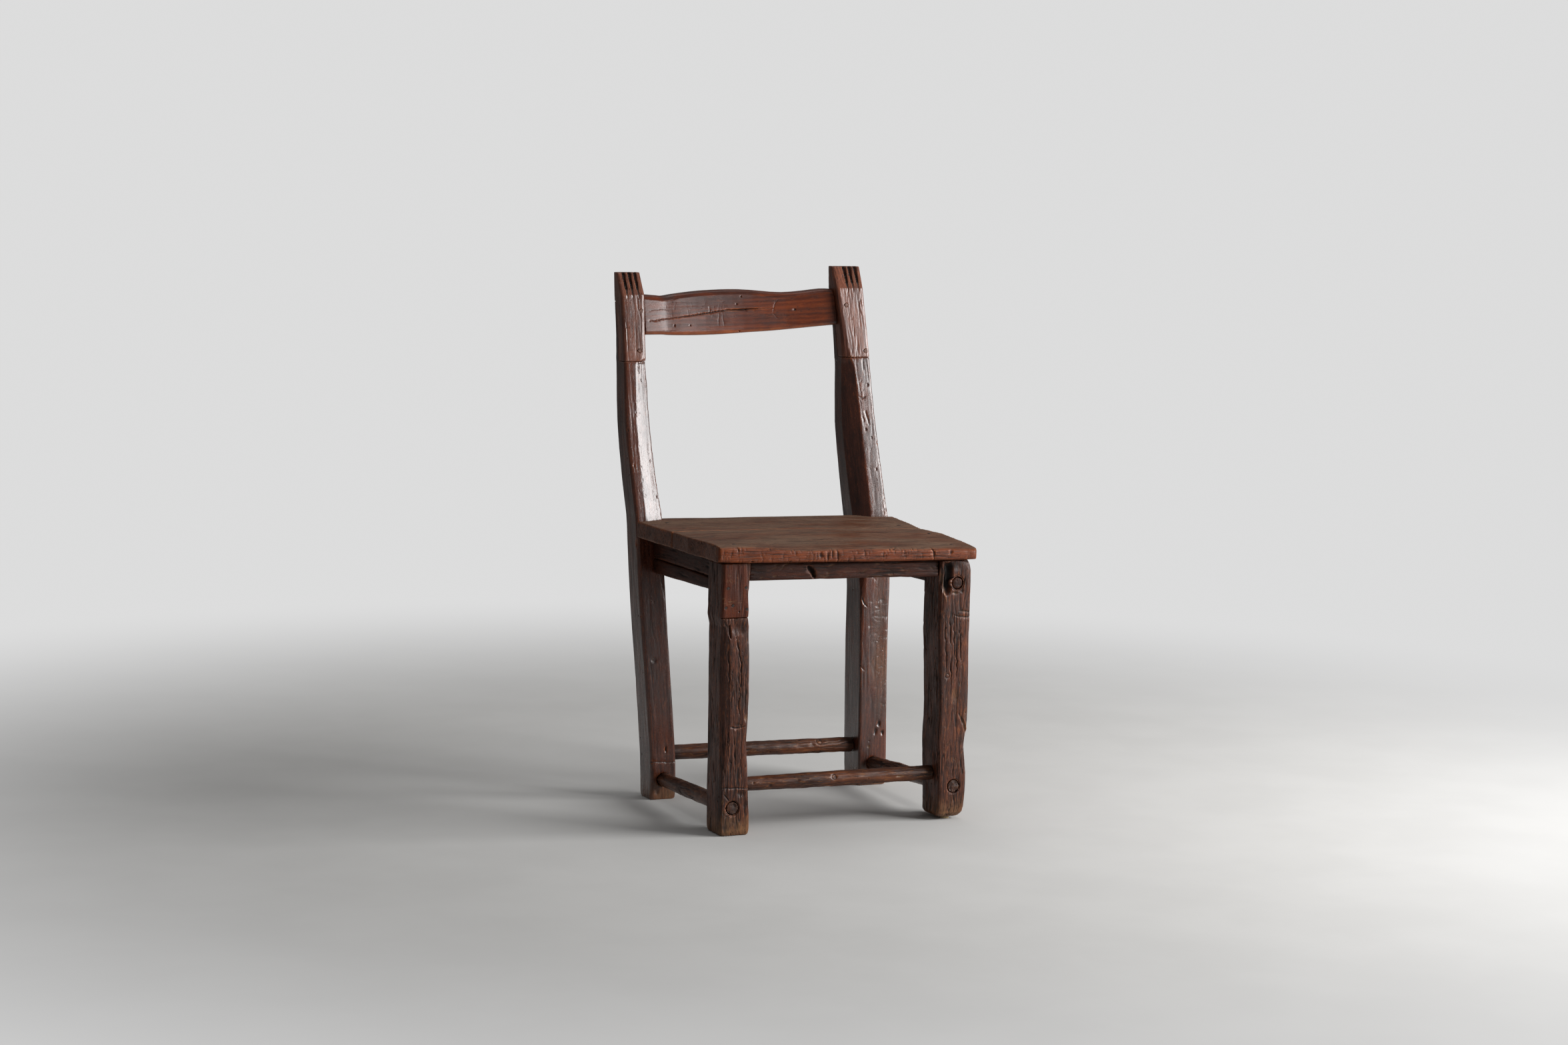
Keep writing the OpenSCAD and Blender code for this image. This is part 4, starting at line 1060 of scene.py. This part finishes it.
@dataclass
class CrestRail:
    """The bowed crest rail with its long check."""

    finishes: Finishes
    cell: float = 0.75
    kept: float = 0.34
    # Its ends are darkened: dirt, and painted shade at the joints.
    wear: Wear = Wear(hew=0.45, hew_length=50, hew_width=22, raised_grain=0.12, arris=1.0,
                      nicks=0.8, pits=8, end_grime_and_shade=0.4, end_chips=0.0)

    def build(self) -> None:
        """Builds the crest rail."""
        front = Side.FRONT
        check = ((-168, 716), (-110, 722), (-68, 727), (-35, 732), (-12, 733), (19, 734),
                 (46, 735))
        marks = (
            Line(front, 2.6, 1.0, points=check, width=2.1, wander=0.5),
            Line(front, 2.6, 1.0, points=((-36, 732), (-12, 733), (19, 734)), width=3.2),
            Line(front, 0.0, 0.0, 0.5, width=11.0, wander=1.5, blunt=True,
                 points=((-182, 697), (-120, 695), (-60, 695.5), (10, 698), (80, 703),
                         (150, 709))),
            Line(front, 0.35, 0.8, width=1.3,
                 points=((-168, 731), (-149, 734), (-135, 732), (-126, 730))),
            Line(front, 0.3, 0.9, points=((50, 747), (47, 741), (46, 735), (44, 727)), width=1.1),
            Line(front, 0.25, 0.8, points=((47, 741), (53, 747), (58, 749)), width=0.9),
            Line(front, 0.25, 0.8, points=((44, 727), (49, 721), (52, 718)), width=0.9),
            Line(front, 0.25, 0.6, points=((-63, 739), (-62, 724)), width=1.0),
            Hollow(front, 1.6, 0.9, centre=(-124, 709), radii=(2.0, 2.0)),
            Hollow(front, 1.4, 0.9, centre=(-16, 741), radii=(2.0, 1.8)),
            Hollow(front, 1.8, 0.9, centre=(80, 733), radii=(2.8, 2.6)),
            Line(front, 0.14, 0.4, points=((-47, 728), (-49, 708)), width=3.2),
            Line(front, 0.12, 0.4, points=((-41, 725), (-39, 708)), width=3.0),
            Scuffs(front, 0.12, 0.7, low=(-150, 722), high=(-30, 744), count=22, length=10,
                   width=1.2, angle=86, spread=8, seed=12),
            Scuffs(front, 0.12, 0.6, low=(-165, 704), high=(150, 746), count=34, length=8,
                   width=1.2, angle=0, spread=14, seed=13),
            Hollow(Side.TOP, 1.6, 0.6, centre=(-134, 178), radii=(20, 30)),
        )
        CarvedPiece("crest_rail", "crest_wood", self.finishes.wood["crest"], Grain.ACROSS,
                    self.cell, self.wear, 31, marks, self.kept).build()


@dataclass
class Seat:
    """The two thick seat boards."""

    finishes: Finishes
    front_cell: float = 1.3
    rear_cell: float = 1.6
    kept: float = 0.5
    wear: Wear = Wear(hew=0.9, hew_length=70, hew_width=30, raised_grain=0.25, grain_width=2.8,
                      grain_length=170, checks=0.4, check_width=6.0, arris=1.6, nicks=2.2,
                      nick_length=9, pits=60, pit_depth=1.0)

    def front_marks(self) -> tuple[Mark, ...]:
        """Returns what is cut and worn on the front board."""
        front, top = Side.FRONT, Side.TOP
        return (
            Hollow(front, 0.0, 0.0, 0.55, centre=(-5, 404), radii=(420, 120), flat=0.2),
            Hollow(front, 1.6, 0.8, centre=(-53, 404), radii=(5, 7)),
            Line(front, 1.8, 0.9, points=((-42, 410), (-42, 393)), width=3.0),
            Line(front, 1.6, 0.8, points=((-35, 414), (-34, 398)), width=2.4),
            Line(front, 1.8, 0.9, points=((-27, 411), (-25, 392)), width=3.0),
            Hollow(front, 1.6, 0.0, 1.0, centre=(-161, 397), radii=(4, 3)),
            Hollow(front, 1.6, 0.0, 1.0, centre=(-102, 395), radii=(3, 3)),
            Line(front, 1.4, 0.2, 0.9, points=((-185, 421), (-182, 412)), width=2.4),
            Line(front, 1.8, 0.1, 1.0, points=((58, 418), (64, 409), (72, 412)), width=2.8),
            Line(front, 1.8, 0.1, 1.0, points=((78, 419), (75, 409)), width=2.6),
            Line(front, 1.4, 0.2, 0.9, points=((98, 417), (95, 405)), width=2.4),
            Line(front, 2.2, 1.0, points=((126, 416), (129, 404), (131, 390)), width=3.4),
            Hollow(front, 1.6, 0.4, 0.5, centre=(158, 402), radii=(4, 5)),
            Hollow(front, 0.4, 0.0, 0.5, centre=(185, 402), radii=(5, 7)),
            Scuffs(front, 0.8, 0.7, low=(-208, 392), high=(200, 419), count=110, length=14,
                   width=1.8, angle=90, spread=9, seed=14),
            Scuffs(front, 0.8, 0.0, 0.9, low=(-205, 392), high=(198, 396), count=16, length=5,
                   width=2.0, angle=90, spread=20, seed=15),
            Hollow(top, 0.5, 0.0, 0.25, centre=(-80, -95), radii=(75, 32), rough=0.5),
            Scuffs(top, 0.5, 0.0, 0.9, low=(-110, -110), high=(-40, -60), count=18, length=8,
                   width=1.6, angle=20, spread=35, seed=16),
            Scuffs(top, 0.5, 0.0, 1.0, low=(-205, -205), high=(196, -45), count=40, length=4,
                   width=1.6, angle=10, spread=60, seed=17),
            Scuffs(top, 0.5, 0.8, low=(-205, -205), high=(196, -45), count=40, length=34,
                   width=1.3, angle=0, spread=5, seed=18),
        )

    def rear_marks(self) -> tuple[Mark, ...]:
        """Returns what is cut and worn on the rear board."""
        top = Side.TOP
        return (
            Hollow(top, 0.9, 0.3, centre=(0, -8), radii=(85, 14), rough=0.5),
            Scuffs(top, 0.5, 0.0, 1.0, low=(-195, -36), high=(200, 60), count=30, length=4,
                   width=1.6, angle=10, spread=60, seed=19),
            Scuffs(top, 0.5, 0.8, low=(-205, -36), high=(205, 110), count=34, length=36,
                   width=1.4, angle=0, spread=5, seed=20),
        )

    def build(self) -> None:
        """Builds both boards."""
        wood = self.finishes.wood["seat"]
        CarvedPiece("seat_board_front", "seat_wood", wood, Grain.ACROSS, self.front_cell,
                    self.wear, 41, self.front_marks(), self.kept).build()
        CarvedPiece("seat_board_rear", "seat_wood", wood, Grain.ACROSS, self.rear_cell,
                    self.wear, 42, self.rear_marks(), self.kept).build()


@dataclass
class SeatFrame:
    """The rails under the seat and the strips packed between the side rails and the seat."""

    finishes: Finishes
    front_cell: float = 1.3
    cell: float = 1.8
    kept: float = 0.6
    # Its ends are darkened: dirt, and painted shade at the joints.
    wear: Wear = Wear(hew=0.9, hew_length=45, hew_width=16, raised_grain=0.5, checks=0.7,
                      arris=1.2, nicks=1.6, pits=6, end_grime_and_shade=0.5)

    def build(self) -> None:
        """Builds the four rails and the two strips."""
        wood = self.finishes.wood["rail"]
        notch = (Line(Side.FRONT, 6.0, 1.0, points=((-64, 386), (-56, 377), (-53, 368)),
                      width=9.0),
                 Scuffs(Side.FRONT, 0.8, 0.0, 0.5, low=(-150, 366), high=(150, 390), count=30,
                        length=12, width=2.0, angle=8, spread=20, seed=22))
        CarvedPiece("seat_rail_front", "rail_wood", wood, Grain.ACROSS, self.front_cell,
                    self.wear, 51, notch, self.kept).build()
        CarvedPiece("seat_rail_rear", "rail_wood", wood, Grain.ACROSS, self.cell, self.wear,
                    52, (), self.kept).build()
        for side, seed in (("left", 53), ("right", 54)):
            CarvedPiece(f"side_rail_{side}", "rail_wood", wood, Grain.BACK, self.cell, self.wear,
                        seed, (), self.kept).build()
            CarvedPiece(f"packing_strip_{side}", "rail_wood", wood, Grain.BACK, self.cell,
                        self.wear, seed + 2, (), self.kept).build()


@dataclass
class Stretchers:
    """The four round stretchers."""

    finishes: Finishes
    cell: float = 1.1
    kept: float = 0.5
    # Its ends are darkened: dirt, and painted shade at the joints.
    wear: Wear = Wear(hew=1.5, hew_length=26, hew_width=9, raised_grain=0.5, grain_width=2.6,
                      grain_length=40, checks=0.8, check_width=4.5, arris=0.3, nicks=0.5, pits=8,
                      end_grime_and_shade=0.75)

    def build(self) -> None:
        """Builds the stretchers."""
        wood = self.finishes.wood["stretcher"]
        front = Side.FRONT
        marks = {
            "front": (Ring(front, 1.0, 0.6, centre=(-10, 74), radius=3.4, width=2.0),
                      Hollow(front, 1.4, 0.7, centre=(-9, 74), radii=(4, 3)),
                      Hollow(front, 1.2, 0.0, 0.9, centre=(98, 68), radii=(9, 2.5)),
                      Hollow(front, 0.9, 0.8, centre=(-112, 67), radii=(5, 3.5)),
                      Hollow(front, -1.2, 0.0, centre=(-60, 70), radii=(12, 9))),
            "rear": (Ring(front, 0.9, 0.5, centre=(98, 70), radius=4.0, width=2.0),
                     Hollow(front, 1.2, 0.4, centre=(86, 66), radii=(7, 4)),
                     Hollow(front, -1.0, 0.0, centre=(20, 64), radii=(16, 9))),
            "left": (Hollow(front, 1.6, 0.6, centre=(-175, 45), radii=(6, 5), rough=0.6),
                     Hollow(front, 1.0, 0.4, centre=(-184, 36), radii=(4, 6), rough=0.6)),
            "right": (Hollow(front, 1.2, 0.5, centre=(183, 55), radii=(6, 5), rough=0.6),
                      Hollow(front, 1.0, 0.5, centre=(175, 46), radii=(4, 5), rough=0.6)),
        }
        for name, grain, seed in (("front", Grain.ACROSS, 61), ("rear", Grain.ACROSS, 62),
                                  ("left", Grain.BACK, 63), ("right", Grain.BACK, 64)):
            CarvedPiece(f"stretcher_{name}", "stretcher_wood", wood, grain, self.cell, self.wear,
                        seed, marks[name], self.kept).build()


@dataclass
class SmallParts:
    """Nails, splice pegs and the glide, whose CAD shapes stay."""

    finishes: Finishes

    def dress(self) -> None:
        """Gives each small part its finish."""
        f = self.finishes
        for node, finish in (("splice_pegs_left", f.peg), ("splice_pegs_right", f.peg),
                             ("seat_nails", f.iron), ("patch_nails", f.iron),
                             ("foot_glide", f.glide)):
            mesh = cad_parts[node].data
            mesh.materials.clear()
            mesh.materials.append(finish)


# ---- Studio -----------------------------------------------------------------------------------


@dataclass
class Studio:
    """The pale floor, the soft lights and the camera."""

    camera_place: tuple[float, float, float] = (-2.078, -4.387, 0.999)
    heading: float = 25.2
    pitch: float = 6.75
    roll: float = 1.43
    lens: float = 75.0
    floor_low: Colour = field(default_factory=lambda: shade(196, 195, 193))
    floor_high: Colour = field(default_factory=lambda: shade(200, 199, 197))
    fade_start: float = 0.7
    fade_end: float = 2.2
    backdrop: float = 0.72
    sky: float = 0.13
    floor_size: float = 24.0
    sight: float = 100.0

    def build(self) -> None:
        """Sets up everything round the chair."""
        self.place_camera()
        self.lay_floor()
        self.hang_lights()
        bpy.context.scene.view_settings.view_transform = "Standard"

    def place_camera(self) -> None:
        """Stands the camera where the chair is seen from its front left."""
        heading, pitch, roll = (math.radians(a) for a in (self.heading, self.pitch, self.roll))
        ahead = Vector((math.sin(heading) * math.cos(pitch),
                        math.cos(heading) * math.cos(pitch), -math.sin(pitch)))
        right = Vector((math.cos(heading), -math.sin(heading), 0))
        up = right.cross(ahead)
        turned_right = math.cos(roll) * right + math.sin(roll) * up
        turned_up = math.cos(roll) * up - math.sin(roll) * right
        data = bpy.data.cameras.new("camera")
        data.lens = self.lens
        data.clip_end = self.sight
        camera = bpy.data.objects.new("camera", data)
        turn = Matrix((turned_right, turned_up, -ahead)).transposed()
        camera.matrix_world = Matrix.Translation(self.camera_place) @ turn.to_4x4()
        bpy.context.scene.collection.objects.link(camera)
        bpy.context.scene.camera = camera

    def lay_floor(self) -> None:
        """Lays a floor that pales into the backdrop, with no line between them."""
        bpy.ops.object.select_all(action="DESELECT")
        bpy.ops.mesh.primitive_plane_add(size=self.floor_size, location=(0, 0, 0))
        floor = bpy.context.active_object
        floor.name = "floor"
        material = bpy.data.materials.new("pale_floor")
        material.use_nodes = True
        g = Graph(material.node_tree)
        place = g.add("ShaderNodeTexCoord").outputs["Object"]
        cloud = g.fit(g.noise(place, (5, 5, 5), 4.0), 0.3, 0.7)
        colour = g.mix(cloud, self.floor_low, self.floor_high)
        lit = g.add("ShaderNodeBsdfPrincipled", {"Base Color": colour, "Roughness": 0.9,
                                                 "Specular IOR Level": 0.0})
        away = g.fit(g.add("ShaderNodeVectorMath", {0: place}, operation="LENGTH").outputs[1],
                     self.fade_start, self.fade_end)
        seen = g.add("ShaderNodeLightPath").outputs["Is Camera Ray"]
        plain = g.add("ShaderNodeEmission", {"Color": (1, 1, 1, 1), "Strength": self.backdrop})
        shader = g.add("ShaderNodeMixShader", {0: g.math("MULTIPLY", away, seen),
                                               1: lit.outputs[0], 2: plain.outputs[0]})
        g.add("ShaderNodeOutputMaterial", {"Surface": shader.outputs[0]})
        floor.data.materials.append(material)

    def hang_lights(self) -> None:
        """Hangs a large soft window light on the right, a weak one above, and an even sky."""
        for name, place, aim, size, power in (
                ("window", (2.2, -1.45, 1.15), (0, 0, 0.45), (1.7, 1.3), 112),
                ("ceiling", (0.3, 0.3, 3.2), (0, 0, 0.3), (2.5, 2.5), 32)):
            data = bpy.data.lights.new(name, "AREA")
            data.shape = "RECTANGLE"
            data.size, data.size_y = size
            data.energy = power
            lamp = bpy.data.objects.new(name, data)
            lamp.location = place
            lamp.rotation_euler = (Vector(aim) - Vector(place)).to_track_quat("-Z", "Y").to_euler()
            bpy.context.scene.collection.objects.link(lamp)
        world = bpy.data.worlds.new("even_light")
        bpy.context.scene.world = world
        world.use_nodes = True
        g = Graph(world.node_tree)
        path = g.add("ShaderNodeLightPath")
        seen = g.math("MAXIMUM", path.outputs["Is Camera Ray"],
                      path.outputs["Is Transmission Ray"])
        strength = g.fit(seen, 0.0, 1.0, self.sky, self.backdrop)
        sky = g.add("ShaderNodeBackground", {"Color": (1, 1, 1, 1), "Strength": strength})
        g.add("ShaderNodeOutputWorld", {"Surface": sky.outputs[0]})


def main() -> None:
    """Builds the chair, sub-assembly by sub-assembly, and the studio round it."""
    logging.basicConfig(level=logging.INFO, format="%(name)s %(message)s")
    finishes = Finishes()
    FrontLegs(finishes).build()
    BackPosts(finishes).build()
    CrestRail(finishes).build()
    Seat(finishes).build()
    SeatFrame(finishes).build()
    Stretchers(finishes).build()
    SmallParts(finishes).dress()
    Studio().build()


if __name__ == "__main__":
    main()
